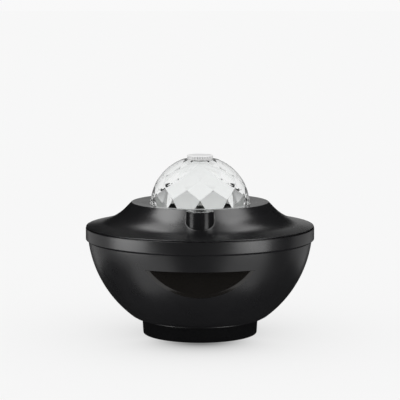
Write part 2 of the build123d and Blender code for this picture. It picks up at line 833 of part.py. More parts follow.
# --- Heat sink: round plate with straight fins below and a pad up through the chassis ---
sink_bottom = chassis_bottom - sink_thickness
board_bottom = chassis_bottom + sink_pad_height
with BuildPart() as heat_sink:
    with BuildSketch(Plane.XY.offset(sink_bottom - fin_length)):
        with GridLocations(fin_pitch, 1, fin_count, 1):
            Rectangle(fin_thickness, 2 * sink_radius)
        Circle(sink_radius - sink_edge, mode=Mode.INTERSECT)
    extrude(amount=fin_length)
    with Locations((0, 0, sink_bottom)):
        Cylinder(sink_radius, sink_thickness, align=UP)
    with Locations((0, 0, chassis_bottom)):
        Cylinder(sink_pad_radius, sink_pad_height, align=UP)
    with Locations((0, 0, sink_bottom)):
        Cylinder(shaft_radius, sink_thickness + sink_pad_height, align=UP, mode=Mode.SUBTRACT)
        with PolarLocations(sink_screw_circle, 4, start_angle=45):
            Cylinder(hole_radius, sink_thickness, align=UP, mode=Mode.SUBTRACT)
save(heat_sink.part, "heat_sink")

with BuildPart() as sink_screws:
    with Locations(Location((0, 0, chassis_top), (180, 0, 0))):
        with PolarLocations(sink_screw_circle, 4, start_angle=45):
            add(screw(chassis_thickness + sink_thickness))
save(sink_screws.part, "sink_screws")

# --- LED board, its four LEDs and the condenser lenses in their holder ---
board_top = board_bottom + board_thickness
with BuildPart() as led_board:
    with Locations((0, 0, board_bottom)):
        Cylinder(led_board_radius, board_thickness, align=UP)
        Cylinder(shaft_radius + slip, board_thickness, align=UP, mode=Mode.SUBTRACT)
save(led_board.part, "led_board")

with BuildPart() as leds:
    with Locations((0, 0, board_top)):
        with PolarLocations(led_circle, 4, start_angle=45):
            Box(led_size, led_size, led_base, align=UP)
            Cylinder(led_dome, led_base + led_dome / 2, align=UP)
    fillet(leds.faces().group_by(Axis.Z)[-1].edges(), radius=led_dome / 3)
save(leds.part, "leds")

plate_top = board_top + holder_height
with BuildPart() as lens_holder:
    with Locations((0, 0, board_top)):
        Cylinder(led_board_radius, holder_height, align=UP)
        Cylinder(
            led_board_radius - holder_wall, holder_height - holder_plate, align=UP,
            mode=Mode.SUBTRACT,
        )
        Cylinder(holder_hub_radius, gear_bottom - hub_below - running_gap - board_top, align=UP)
        Cylinder(shaft_radius + slip, optics_height, align=UP, mode=Mode.SUBTRACT)
    with Locations((0, 0, plate_top)):
        with PolarLocations(led_circle, 4, start_angle=45):
            Cylinder(lens_radius + slip / 2, lens_seat, align=DOWN, mode=Mode.SUBTRACT)
            Cylinder(lens_radius - lens_land, holder_plate, align=DOWN, mode=Mode.SUBTRACT)
save(lens_holder.part, "lens_holder")

with BuildPart() as one_lens:
    with BuildSketch(Plane.XZ):
        with BuildLine():
            sphere_radius = (lens_radius**2 + lens_rise**2) / (2 * lens_rise)
            crown = RadiusArc((lens_radius, lens_edge), (0, lens_edge + lens_rise), -sphere_radius)
            Polyline(crown @ 1, (0, 0), (lens_radius, 0), crown @ 0)
        make_face()
    revolve(axis=Axis.Z)
with BuildPart() as condenser_lenses:
    with Locations((0, 0, plate_top - lens_seat)):
        with PolarLocations(led_circle, 4, start_angle=45):
            add(one_lens.part)
save(condenser_lenses.part, "condenser_lenses")

# --- Fixed pin on the axis: pressed into the heat sink, the ripple disc turns on it ---
clip_bottom = gear_top + hub_above + running_gap
with BuildPart() as centre_pin:
    with Locations((0, 0, sink_bottom)):
        Cylinder(shaft_radius, clip_bottom + 2 * clip_thickness - sink_bottom, align=UP)
    fillet(centre_pin.edges().group_by(Axis.Z)[-1], radius=shaft_tip)
save(centre_pin.part, "centre_pin")

with BuildPart() as ripple_clip:
    with Locations((0, 0, clip_bottom)):
        Cylinder(clip_radius, clip_thickness, align=UP)
        Cylinder(shaft_radius, clip_thickness, align=UP, mode=Mode.SUBTRACT)
        Box(
            shaft_radius, clip_radius, clip_thickness,
            align=(Align.CENTER, Align.MIN, Align.MIN), mode=Mode.SUBTRACT,
        )
save(ripple_clip.part, "ripple_clip")

# --- Ripple disc in its ring gear ---
ripple_root_radius = module * (ripple_teeth / 2 - tooth_root)
ripple_ring_inside = ripple_root_radius - ripple_gear_rim
ledge_top = gear_bottom + gear_thickness - ripple_disc_thickness
with BuildPart() as ripple_gear:
    with BuildSketch(Plane.XY.offset(gear_bottom)):
        with BuildLine():
            Polyline(*gear_outline(ripple_teeth, -90), close=True)
        make_face()
        Circle(ripple_ring_inside - ripple_ledge, mode=Mode.SUBTRACT)
    extrude(amount=gear_thickness)
    with Locations((0, 0, ledge_top)):
        Cylinder(ripple_ring_inside, gear_thickness, align=UP, mode=Mode.SUBTRACT)
save(ripple_gear.part, "ripple_gear")

with BuildPart() as ripple_disc:
    with Locations((0, 0, ledge_top)):
        Cylinder(ripple_ring_inside - slip / 2, ripple_disc_thickness, align=UP)
    with BuildSketch(Plane.XY.offset(gear_top)):
        for ring in range(ripple_ring_count):
            ring_outside = ripple_ring_inside - ripple_ledge - 2 * ring * ripple_ring_width
            Circle(ring_outside)
            Circle(ring_outside - ripple_ring_width, mode=Mode.SUBTRACT)
    extrude(amount=ripple_ring_height)
    with Locations((0, 0, gear_bottom - hub_below)):
        hub_height = hub_below + gear_thickness + hub_above
        Cylinder(hub_radius, hub_height, align=UP)
        Cylinder(shaft_radius + shaft_clearance, hub_height, align=UP, mode=Mode.SUBTRACT)
save(ripple_disc.part, "ripple_disc")

# --- Gear motor on the chassis, its shaft and the pinion ---
motor_nose_top = gear_bottom - hub_below - running_gap
with BuildPart() as gear_motor:
    with Locations((0, pinion_y, chassis_top)):
        Cylinder(motor_radius, motor_body, align=UP)
        Box(2 * motor_ear_reach, motor_ear_width, motor_ear_thickness, align=UP)
        Cylinder(motor_nose_radius, motor_nose_top - chassis_top, align=UP)
    upright = gear_motor.edges().filter_by(Axis.Z).group_by(Axis.X)
    fillet(upright[0] + upright[-1], radius=motor_ear_width / 3)
    can_top = gear_motor.edges().filter_by(GeomType.CIRCLE).filter_by(
        lambda e: abs(e.arc_center.Z - chassis_top - motor_body) < 0.01
        and abs(e.radius - motor_radius) < 0.01
    )
    fillet(can_top, radius=motor_ear_thickness)
    with Locations((-motor_screw_reach, pinion_y, chassis_top),
                   (motor_screw_reach, pinion_y, chassis_top)):
        Cylinder(hole_radius, motor_ear_thickness, align=UP, mode=Mode.SUBTRACT)
    with Locations((0, pinion_y, motor_nose_top)):
        Cylinder(
            shaft_radius + shaft_clearance, shaft_depth + running_gap, align=DOWN,
            mode=Mode.SUBTRACT,
        )
save(gear_motor.part, "gear_motor")

with BuildPart() as motor_screws:
    with Locations(
        Location((-motor_screw_reach, pinion_y, chassis_top + motor_ear_thickness), (180, 0, 0)),
        Location((motor_screw_reach, pinion_y, chassis_top + motor_ear_thickness), (180, 0, 0)),
    ):
        add(screw(motor_ear_thickness + chassis_thickness))
save(motor_screws.part, "motor_screws")

shaft_length = shaft_depth + hub_below + running_gap + gear_thickness + shaft_tip
with BuildPart() as motor_shaft:
    with Locations((0, pinion_y, gear_top + shaft_tip)):
        Cylinder(shaft_radius, shaft_length, align=DOWN)
    fillet(motor_shaft.edges().group_by(Axis.Z)[-1], radius=shaft_tip / 2)
save(motor_shaft.part, "motor_shaft")

# a gap between two of the pinion's teeth looks at the ripple gear's tooth on the centre line
pinion_pitch = 360 / pinion_teeth
pinion_phase = 90 + pinion_pitch / 2
pinion_offset = (270 - pinion_phase) % pinion_pitch
with BuildPart() as motor_pinion:
    with BuildSketch(Plane.XY.offset(gear_bottom)):
        with BuildLine():
            Polyline(*gear_outline(pinion_teeth, pinion_phase), close=True)
        make_face()
    extrude(amount=gear_thickness)
    with Locations((0, 0, gear_bottom)):
        Cylinder(hub_radius, hub_below, align=DOWN)
        Cylinder(shaft_radius, 2 * gear_thickness + hub_below, mode=Mode.SUBTRACT)
motor_pinion_part = Pos(0, pinion_y, 0) * motor_pinion.part
save(motor_pinion_part, "motor_pinion")

# --- Grating in its gear, which turns on the hub of the laser's holder ---
grating_pitch = 360 / grating_teeth
grating_phase = 90 + grating_pitch / 2 + pinion_offset * pinion_teeth / grating_teeth
with BuildPart() as grating_gear:
    with BuildSketch(Plane.XY.offset(gear_bottom)):
        with BuildLine():
            Polyline(*gear_outline(grating_teeth, grating_phase), close=True)
        make_face()
        Circle(grating_hub_radius + shaft_clearance, mode=Mode.SUBTRACT)
    extrude(amount=gear_thickness)
    with Locations((0, 0, gear_top)):
        Cylinder(grating_disc_radius + slip / 4, grating_seat, align=DOWN, mode=Mode.SUBTRACT)
grating_gear_part = Pos(0, laser_y, 0) * grating_gear.part
save(grating_gear_part, "grating_gear")

with BuildPart() as grating_disc:
    with Locations((0, laser_y, gear_top - grating_seat)):
        Cylinder(grating_disc_radius, grating_disc_thickness, align=UP)
save(grating_disc.part, "grating_disc")

# --- Laser module and its holder ---
sleeve_top = gear_bottom - running_gap
barrel_top = sleeve_top - sleeve_roof
grating_hub_top = gear_top - grating_seat - running_gap
with BuildPart() as laser_holder:
    with Locations((0, laser_y, chassis_top)):
        Cylinder(laser_radius + sleeve_wall, sleeve_top - chassis_top, align=UP)
        Cylinder(grating_hub_radius, grating_hub_top - chassis_top, align=UP)
        Box(2 * laser_ear_reach, laser_ear_width, laser_ear_thickness, align=UP)
    upright = laser_holder.edges().filter_by(Axis.Z).group_by(Axis.X)
    fillet(upright[0] + upright[-1], radius=laser_ear_width / 4)
    with Locations((0, laser_y, chassis_top)):
        Cylinder(
            laser_radius + shaft_clearance, barrel_top - chassis_top, align=UP,
            mode=Mode.SUBTRACT,
        )
        Cylinder(beam_radius, grating_hub_top - chassis_top, align=UP, mode=Mode.SUBTRACT)
    with Locations((-laser_screw_reach, laser_y, chassis_top),
                   (laser_screw_reach, laser_y, chassis_top)):
        Cylinder(hole_radius, laser_ear_thickness, align=UP, mode=Mode.SUBTRACT)
save(laser_holder.part, "laser_holder")

with BuildPart() as laser_module:
    with Locations((0, laser_y, barrel_top)):
        Cylinder(laser_radius, laser_length, align=DOWN)
        Cylinder(beam_radius / 2, laser_nose, align=DOWN, mode=Mode.SUBTRACT)
    chamfer(laser_module.edges().group_by(Axis.Z)[0], length=laser_nose / 2)
save(laser_module.part, "laser_module")

with BuildPart() as laser_screws:
    with Locations(
        Location((-laser_screw_reach, laser_y, chassis_top + laser_ear_thickness), (180, 0, 0)),
        Location((laser_screw_reach, laser_y, chassis_top + laser_ear_thickness), (180, 0, 0)),
    ):
        add(screw(laser_ear_thickness + chassis_thickness))
save(laser_screws.part, "laser_screws")

# --- Loudspeaker, face down on the base cover ---
basket_top = base_top + speaker_flange + basket_depth
cone_rim = speaker_radius - surround_width
with BuildPart() as speaker_basket:
    with BuildSketch(Plane.XZ):
        with BuildLine():
            Polyline(
                (speaker_radius, base_top),
                (speaker_radius, base_top + speaker_flange),
                (basket_radius, basket_top),
                (0, basket_top),
                (0, basket_top - speaker_flange),
                (basket_radius - speaker_flange, basket_top - speaker_flange),
                (cone_rim, base_top + speaker_flange),
                (cone_rim, base_top),
                close=True,
            )
        make_face()
    revolve(axis=Axis.Z)
save(speaker_basket.part, "speaker_basket")

with BuildPart() as speaker_magnet:
    with Locations((0, 0, basket_top)):
        Cylinder(magnet_radius, magnet_thickness, align=UP)
    chamfer(speaker_magnet.edges().group_by(Axis.Z)[-1], length=speaker_flange / 2)
save(speaker_magnet.part, "speaker_magnet")

cone_outside = cone_rim - cone_clearance
cone_top = basket_top - speaker_flange - cone_clearance
with BuildPart() as speaker_cone:
    with BuildSketch(Plane.XZ):
        with BuildLine():
            Polyline(
                (0, cone_top),
                (dust_cap_radius, cone_top),
                (cone_outside, base_top + cone_thickness + cone_clearance),
                (cone_outside, base_top + cone_clearance),
                (dust_cap_radius, cone_top - cone_thickness),
                (0, cone_top - 2 * cone_thickness),
                close=True,
            )
        make_face()
    revolve(axis=Axis.Z)
save(speaker_cone.part, "speaker_cone")

# --- Main board on the bowl's posts ---
main_board_top = main_board_bottom + board_thickness
with BuildPart() as main_board:
    with BuildSketch(Plane.XY.offset(main_board_bottom)):
        RectangleRounded(main_board_length, main_board_width, standoff_radius)
        with board_corners():
            Circle(hole_radius, mode=Mode.SUBTRACT)
    extrude(amount=board_thickness)
save(main_board.part, "main_board")

with BuildPart() as board_screws:
    with Locations(Location((0, 0, main_board_top), (180, 0, 0))):
        with board_corners():
            add(screw(board_thickness + standoff_radius))
save(board_screws.part, "board_screws")

with BuildPart() as capacitors:
    with Locations((-main_board_length / 4, 0, main_board_top)):
        with GridLocations(1, 3 * capacitor_radius, 1, 3):
            Cylinder(capacitor_radius, capacitor_height, align=UP)
    fillet(capacitors.edges().group_by(Axis.Z)[-1], radius=screw_slot)
save(capacitors.part, "capacitors")

with BuildPart() as control_chip:
    with Locations((main_board_length / 8, 0, main_board_top)):
        Box(chip_size, chip_size, chip_height, align=UP)
    chamfer(control_chip.edges().group_by(Axis.Z)[-1], length=chip_height / 4)
save(control_chip.part, "control_chip")

with BuildPart() as board_sockets:
    with Locations((0, main_board_width / 2 - plug_width, main_board_top)):
        with GridLocations(1.5 * plug_length, 1, 3, 1):
            Box(plug_length, plug_width, plug_height, align=UP)
            with Locations((0, 0, screw_slot)):
                Box(
                    plug_length - 2 * screw_slot, plug_width - 2 * screw_slot, plug_height,
                    align=UP, mode=Mode.SUBTRACT,
                )
save(board_sockets.part, "board_sockets")

# --- Key board behind the rear flat: four switches and the power inlet ---
key_board_top = key_row_height + key_board_above
key_board_bottom = key_row_height - key_board_below
key_screw_spots = (
    (-key_screw_reach, key_row_height + key_screw_rise),
    (key_screw_reach, key_row_height + key_screw_rise),
)
with BuildPart() as key_board:
    with BuildSketch(Plane.XZ.offset(-key_board_face)):
        with Locations((0, (key_board_top + key_board_bottom) / 2)):
            RectangleRounded(
                key_board_length, key_board_top - key_board_bottom, standoff_radius
            )
        with Locations(*key_screw_spots):
            Circle(hole_radius, mode=Mode.SUBTRACT)
    extrude(amount=board_thickness)
save(key_board.part, "key_board")

with BuildPart() as key_board_screws:
    screw_face = key_board_face - board_thickness
    with Locations(*[Location((x, screw_face, z), (-90, 0, 0)) for x, z in key_screw_spots]):
        add(screw(board_thickness + 2 * standoff_radius))
save(key_board_screws.part, "key_board_screws")

with BuildPart() as key_switches:
    with BuildSketch(Plane.XZ.offset(-key_board_face)):
        with Locations((0, key_row_height)):
            with button_row():
                Rectangle(switch_size, switch_size)
    extrude(amount=-switch_height)
    with BuildSketch(Plane.XZ.offset(-key_board_face - switch_height)):
        with Locations((0, key_row_height)):
            with button_row():
                Circle(plunger_radius)
    extrude(amount=-plunger_height)
save(key_switches.part, "key_switches")

# --- Buttons: round caps with a flange behind the flat ---
for number, spot in enumerate(button_row().locations):
    with BuildPart() as button:
        with BuildSketch(Plane.XZ.offset(-button_back)):
            with Locations((spot.position.X, key_row_height)):
                Circle(button_radius + button_flange)
        extrude(amount=-button_flange_thickness)
        with BuildSketch(Plane.XZ.offset(-button_back)):
            with Locations((spot.position.X, key_row_height)):
                Circle(button_radius)
        extrude(amount=-(flat_distance + button_stand - button_back))
        fillet(button.edges().group_by(Axis.Y)[-1], radius=button_gap)
    save(button.part, f"button_{number + 1}")

# --- Power inlet: a flat oval shell with its tongue, upright on the key board ---
inlet_mouth = flat_distance - inlet_set_back
inlet_bottom_inside = key_board_face + inlet_back
with BuildPart() as power_inlet:
    with BuildSketch(Plane.XZ.offset(-key_board_face)):
        with Locations((0, inlet_row_height)):
            SlotOverall(inlet_width, inlet_height)
    extrude(amount=-(inlet_mouth - key_board_face))
    with BuildSketch(Plane.XZ.offset(-inlet_bottom_inside)):
        with Locations((0, inlet_row_height)):
            SlotOverall(inlet_width - 2 * inlet_shell, inlet_height - 2 * inlet_shell)
            Rectangle(
                inlet_width - inlet_height, inlet_tongue, mode=Mode.SUBTRACT
            )
    extrude(amount=-(inlet_mouth - inlet_bottom_inside), mode=Mode.SUBTRACT)
    with Locations((0, inlet_mouth, inlet_row_height)):
        Box(
            inlet_width - inlet_height, 1.0, inlet_tongue,
            align=(Align.CENTER, Align.MAX, Align.CENTER), mode=Mode.SUBTRACT,
        )
save(power_inlet.part, "power_inlet")

# --- Remote receiver behind the window panel ---
receiver_spots = (
    (-receiver_screw_reach, receiver_row_height),
    (receiver_screw_reach, receiver_row_height),
)
with BuildPart() as receiver_board:
    with BuildSketch(Plane.XZ.offset(-receiver_board_face - board_thickness)):
        with Locations((0, receiver_row_height)):
            RectangleRounded(receiver_board_length, receiver_board_height, screw_radius)
        with Locations(*receiver_spots):
            Circle(hole_radius, mode=Mode.SUBTRACT)
    extrude(amount=board_thickness)
save(receiver_board.part, "receiver_board")

with BuildPart() as receiver_screws:
    screw_face = receiver_board_face + board_thickness
    with Locations(*[Location((x, screw_face, z), (90, 0, 0)) for x, z in receiver_spots]):
        add(screw(board_thickness + standoff_radius))
save(receiver_screws.part, "receiver_screws")

with BuildPart() as remote_receiver:
    with BuildSketch(Plane.XZ.offset(-receiver_board_face)):
        with Locations((0, receiver_row_height)):
            Rectangle(receiver_size, receiver_size)
    extrude(amount=receiver_depth)
    with Locations((0, receiver_board_face - receiver_depth, receiver_row_height)):
        Sphere(receiver_lens_radius)
save(remote_receiver.part, "remote_receiver")
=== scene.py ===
# %% [markdown]
# # A star projector for a bedroom table
# The object is a black bowl on a foot. A dished cover closes the bowl, a gem-cut dome stands in
# the cover's collar, and a small boss in front of it holds the laser's window. The engineering
# model is loaded first and is the fixed frame for all that is made here: a body moves as one,
# and a node is one piece of the product. +Z is up and -Y is the front. Blender works in metres;
# the sizes of the pieces are given in millimetres and scaled once.

# %% Load the frame
import json
from itertools import combinations
from math import cos, pi, radians, sin, sqrt, tan

import bmesh
import bpy
import numpy as np
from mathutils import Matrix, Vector

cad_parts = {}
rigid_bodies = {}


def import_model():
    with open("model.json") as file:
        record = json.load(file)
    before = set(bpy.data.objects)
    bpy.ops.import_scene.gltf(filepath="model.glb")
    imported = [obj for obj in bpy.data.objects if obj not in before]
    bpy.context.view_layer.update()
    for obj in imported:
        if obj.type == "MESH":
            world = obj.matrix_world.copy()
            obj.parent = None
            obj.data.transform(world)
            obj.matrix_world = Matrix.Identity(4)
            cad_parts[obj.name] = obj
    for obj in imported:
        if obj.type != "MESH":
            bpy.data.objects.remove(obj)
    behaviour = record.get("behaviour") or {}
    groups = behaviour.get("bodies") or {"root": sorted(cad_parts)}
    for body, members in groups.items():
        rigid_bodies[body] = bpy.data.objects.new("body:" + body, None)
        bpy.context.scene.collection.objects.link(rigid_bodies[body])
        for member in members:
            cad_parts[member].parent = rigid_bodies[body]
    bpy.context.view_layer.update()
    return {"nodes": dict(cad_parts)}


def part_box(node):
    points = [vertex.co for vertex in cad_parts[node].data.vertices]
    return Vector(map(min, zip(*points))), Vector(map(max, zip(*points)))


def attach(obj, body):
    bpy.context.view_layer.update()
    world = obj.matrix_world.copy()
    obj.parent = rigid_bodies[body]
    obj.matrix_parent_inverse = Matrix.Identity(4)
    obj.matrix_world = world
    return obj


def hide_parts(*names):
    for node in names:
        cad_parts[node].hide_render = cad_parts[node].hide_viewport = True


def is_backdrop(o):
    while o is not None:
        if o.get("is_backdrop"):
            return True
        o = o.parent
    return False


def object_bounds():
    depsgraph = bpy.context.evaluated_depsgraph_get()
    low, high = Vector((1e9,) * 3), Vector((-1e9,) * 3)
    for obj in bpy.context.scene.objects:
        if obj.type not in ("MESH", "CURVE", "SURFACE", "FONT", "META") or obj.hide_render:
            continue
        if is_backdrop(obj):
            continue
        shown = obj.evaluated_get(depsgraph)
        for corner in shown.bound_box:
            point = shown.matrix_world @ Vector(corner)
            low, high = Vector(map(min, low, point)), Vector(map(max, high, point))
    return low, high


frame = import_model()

nodes = frame["nodes"]
MM = 0.001


def new_object(name, data):
    """Put new data into the scene as an object at the origin."""
    item = bpy.data.objects.new(name, data)
    bpy.context.scene.collection.objects.link(item)
    return item


# %% [markdown]
# ## Camera
# The view is a product shot from far off, about seven degrees above the rim. The long lens keeps
# the bowl from bulging, as it would before a short one close by.

# %% Camera
camera_distance = 1.2
camera_height = 0.2424
camera_tilt = radians(90 - 6.892)
camera_data = bpy.data.cameras.new("camera")
camera_data.lens = 150.6
camera_data.sensor_width = 36.0
camera = new_object("camera", camera_data)
camera.location = (0, -camera_distance, camera_height)
camera.rotation_euler = (camera_tilt, 0, 0)
bpy.context.scene.camera = camera
bpy.context.scene.view_settings.view_transform = "Standard"
print("lens:", round(camera_data.lens, 1), "mm")

# %% [markdown]
# ## Node graphs in one line each
# A finish is a small graph of shader nodes. These helpers add a node, join two sockets, add a
# step of arithmetic, and start a material. Sockets are set by name, so a reader can find each of
# them in Blender's shader editor.

# %% Helpers for shader graphs
def shader_node(tree, kind, options=None, **sockets):
    """Add a node, set its own options, then the sockets named with underscores for spaces."""
    node = tree.nodes.new("ShaderNode" + kind)
    for option, value in (options or {}).items():
        setattr(node, option, value)
    for socket, value in sockets.items():
        node.inputs[socket.replace("_", " ")].default_value = value
    return node


def join(tree, source, target):
    """Link (node, output name) to (node, input name)."""
    tree.links.new(source[0].outputs[source[1]], target[0].inputs[target[1]])


def formula(tree, operation, *terms):
    """Add a Math node whose terms are numbers or outputs, and return its output."""
    node = shader_node(tree, "Math", {"operation": operation})
    for place, term in enumerate(terms):
        if isinstance(term, (int, float)):
            node.inputs[place].default_value = term
        else:
            tree.links.new(term, node.inputs[place])
    return node.outputs[0]


def from_object(tree, target):
    """Feed a node's Vector with Object coordinates."""
    join(tree, (tree.nodes.new("ShaderNodeTexCoord"), "Object"), (target, "Vector"))


finishes = {}


def new_finish(name, **sockets):
    """Add a finish with one Principled shader, whose constant sockets are set directly."""
    material = finishes[name] = bpy.data.materials.new(name + "_finish")
    material.use_nodes = True
    tree = material.node_tree
    tree.nodes.clear()
    output = tree.nodes.new("ShaderNodeOutputMaterial")
    shader = shader_node(tree, "BsdfPrincipled", **sockets)
    join(tree, (shader, "BSDF"), (output, "Surface"))
    return tree, shader


# %% [markdown]
# ## Studio light
# The set is white all round, which lights the floor and shows through the glass. A black glossy
# thing in a white room would turn grey, so in mirrors the room is dark and holds only softboxes.
# The world shader tells those cases apart by the kind of ray, and a ray that has passed through
# glass sees the white room, however often it was mirrored. The softboxes are area lamps that
# only gloss can see, so each leaves its streak on the plastic and nothing else. Light bounces
# often, because a ray in the dome crosses many facets.

# %% World
bounces = bpy.context.scene.cycles
bounces.max_bounces = bounces.transmission_bounces = 32
bounces.glossy_bounces = 24
bounces.diffuse_bounces = 8
room_white = 0.945
mirror_dark = 0.012
world = bpy.data.worlds.new("studio")
world.use_nodes = True
world.cycles.sampling_method = "NONE"
bpy.context.scene.world = world
tree = world.node_tree
tree.nodes.clear()
ray = tree.nodes.new("ShaderNodeLightPath")
white = shader_node(tree, "Background", Color=(1, 1, 1, 1), Strength=room_white)
dark = shader_node(tree, "Background", Color=(1, 1, 1, 1), Strength=mirror_dark)
chooser = tree.nodes.new("ShaderNodeMixShader")
world_output = tree.nodes.new("ShaderNodeOutputWorld")
not_through_glass = formula(tree, "LESS_THAN", ray.outputs["Transmission Depth"], 0.5)
mirrored = formula(tree, "MULTIPLY", not_through_glass, ray.outputs["Is Glossy Ray"])
tree.links.new(mirrored, chooser.inputs[0])
join(tree, (white, "Background"), (chooser, 1))
join(tree, (dark, "Background"), (chooser, 2))
join(tree, (chooser, "Shader"), (world_output, "Surface"))
print("room:", room_white, "in mirrors:", mirror_dark)


# %% Softboxes
def softbox(name, centre, width, height, facing, glow):
    """An area lamp that only gloss sees, with the power glow * pi * area."""
    lamp = bpy.data.lights.new(name, "AREA")
    lamp.shape = "RECTANGLE"
    lamp.size = width
    lamp.size_y = height
    lamp.energy = glow * pi * width * height
    box = new_object(name, lamp)
    box.location = centre
    box.rotation_euler = Vector(facing).to_track_quat("-Z", "Y").to_euler()
    box.visible_camera = box.visible_diffuse = box.visible_transmission = False


down = (0, 0, -1)
for row in (
    ("overhead_left", (-0.58, -0.02, 1.10), 0.60, 0.60, down, 6.0),
    ("overhead_right", (0.55, 0.02, 1.10), 0.58, 0.66, down, 4.2),
    ("overhead_left_rear", (-0.36, 0.66, 1.10), 0.34, 0.80, down, 2.6),
    ("overhead_right_rear", (0.34, 0.70, 1.10), 0.28, 0.70, down, 2.2),
    ("side_left", (-1.05, -0.33, 0.05), 0.80, 0.60, (1, 0.3, 0), 4.4),
    ("side_right", (1.0, -0.80, 0.05), 0.80, 0.60, (-1, 0.8, 0), 4.2),
    ("boss_left", (-1.05, -0.36, -0.11), 0.58, 0.28, (1, 0.3, 0.1), 4.2),
    ("boss_right", (0.92, -0.70, -0.11), 0.56, 0.28, (-1, 0.7, 0.1), 3.4),
    ("low_left", (-0.9, -0.60, -0.75), 1.1, 1.0, (1, 0.7, 0.6), 1.0),
    ("low_right", (0.9, -0.75, -0.75), 1.1, 1.0, (-1, 0.8, 0.6), 1.0),
    ("rear_left", (-1.3, 1.0, -0.15), 1.4, 0.8, (1.3, -1, 0), 0.45),
    ("rear_right", (1.3, 1.0, -0.15), 1.4, 0.8, (-1.3, -1, 0), 0.45),
    ("backdrop", (0.05, 2.0, 0.35), 0.70, 1.3, (0, -1, 0), 0.4),
):
    softbox(*row)
print("softboxes:", len(bpy.data.lights))

# %% [markdown]
# ## Floor
# The floor is a large white sheet, partly lit from within, so that it is as bright as the room
# behind it and shows no horizon. A contact shadow is painted into the sheet's colour round the
# foot, deepest in front. With r the distance from the axis, R the painted shadow's edge and f its
# fade, its strength is exp(-max(r - R, 0) / f) times the cube of -y / r, which is one in front and
# nothing behind; a small share is left all round.

# %% Floor
floor_reach = 30.0
floor_white = 0.985
own_light = 0.80
shade_depth = 0.72
shade_aside = 0.12
shade_fade = 16 * MM
shade_edge = 42 * MM
corners = np.array([(-1, -1, 0), (1, -1, 0), (1, 1, 0), (-1, 1, 0)]) * floor_reach
floor_mesh = bpy.data.meshes.new("floor")
floor_mesh.from_pydata(corners.tolist(), [], [(0, 1, 2, 3)])
floor = new_object("floor", floor_mesh)
floor.visible_glossy = floor.visible_shadow = False
tree, shader = new_finish(
    "floor_paper", Roughness=0.9, Specular_IOR_Level=0.0,
    Emission_Strength=own_light / (1 - own_light) * room_white,
)
floor_mesh.materials.append(finishes["floor_paper"])
floor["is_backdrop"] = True
print("floor:", 2 * floor_reach, "m wide")

# %% Contact shade, painted into the floor's colour
axes = tree.nodes.new("ShaderNodeSeparateXYZ")
from_object(tree, axes)
x_square = formula(tree, "POWER", axes.outputs["X"], 2.0)
y_square = formula(tree, "POWER", axes.outputs["Y"], 2.0)
reach = formula(tree, "SQRT", formula(tree, "ADD", x_square, y_square))
gap = formula(tree, "MAXIMUM", formula(tree, "SUBTRACT", reach, shade_edge), 0.0)
fall = formula(tree, "EXPONENT", formula(tree, "MULTIPLY", gap, -1 / shade_fade))
front = formula(tree, "MULTIPLY", formula(tree, "DIVIDE", axes.outputs["Y"], reach), -1.0)
front = formula(tree, "POWER", formula(tree, "MAXIMUM", front, 0.0), 3.0)
shade = formula(tree, "MULTIPLY", fall, formula(tree, "MAXIMUM", front, shade_aside))
lit_sheet = (1 - own_light) * floor_white
# Painted shadow: the sheet's colour and its own light are both darkened round the foot.
sheet = shader_node(tree, "Mix", {"data_type": "RGBA"})
sheet.inputs["A"].default_value = (*[lit_sheet] * 3, 1)
sheet.inputs["B"].default_value = (*[(1 - shade_depth) * lit_sheet] * 3, 1)
tree.links.new(shade, sheet.inputs["Factor"])
join(tree, (sheet, "Result"), (shader, "Base Color"))
join(tree, (sheet, "Result"), (shader, "Emission Color"))
print("shade:", shade_depth, "in front")

# %% [markdown]
# ## Moulded plastic
# Most of the product is injection-moulded ABS. The steel mould is spark-eroded, which leaves a
# fine even grain, so a highlight is soft but has no scratches. The grain, a fifth of a
# millimetre wide, is too fine for geometry, so it is a bump from noise. A much larger noise moves
# the roughness a little, as handling does. Both read Object coordinates, so the grain has one
# size on all pieces.

# %% Moulded plastic
grain_width = 0.20 * MM
handling_width = 22 * MM


def add_bump(tree, shader, pattern, height):
    """Raise the surface by a pattern from 0 to 1 times a height in metres."""
    bump = shader_node(tree, "Bump", Distance=height)
    join(tree, pattern, (bump, "Height"))
    join(tree, (bump, "Normal"), (shader, "Normal"))


def object_noise(tree, width, detail=2.0, roughness=0.5):
    """Noise whose lumps are about width across, on the piece's own Object coordinates."""
    noise = shader_node(tree, "TexNoise", Scale=1 / width, Detail=detail, Roughness=roughness)
    from_object(tree, noise)
    return noise


def uneven_gloss(tree, shader, source, low, high):
    """Let the roughness follow a pattern: the pattern's middle part maps to low up to high."""
    stretch = shader_node(tree, "MapRange", From_Min=0.3, From_Max=0.7, To_Min=low, To_Max=high)
    join(tree, source, (stretch, "Value"))
    join(tree, (stretch, "Result"), (shader, "Roughness"))


def tint(tree, shader, source, dark, light):
    """Let the colour follow a pattern, from dark to light."""
    ramp = tree.nodes.new("ShaderNodeValToRGB")
    ramp.color_ramp.elements[0].color = (*dark, 1)
    ramp.color_ramp.elements[1].color = (*light, 1)
    join(tree, source, (ramp, "Fac"))
    join(tree, (ramp, "Color"), (shader, "Base Color"))
    return ramp


def moulded(name, colour, rough, grain_height, uneven=0.04, **sockets):
    """Moulded plastic with an eroded grain and a slightly uneven gloss."""
    tree, shader = new_finish(name, **sockets)
    handled = object_noise(tree, handling_width, detail=4.0)
    pattern = (handled, "Fac")
    uneven_gloss(tree, shader, pattern, rough - uneven, rough + uneven)
    tint(tree, shader, pattern, [0.92 * c for c in colour], [1.08 * c for c in colour])
    grain = object_noise(tree, grain_width)
    add_bump(tree, shader, (grain, "Fac"), grain_height)


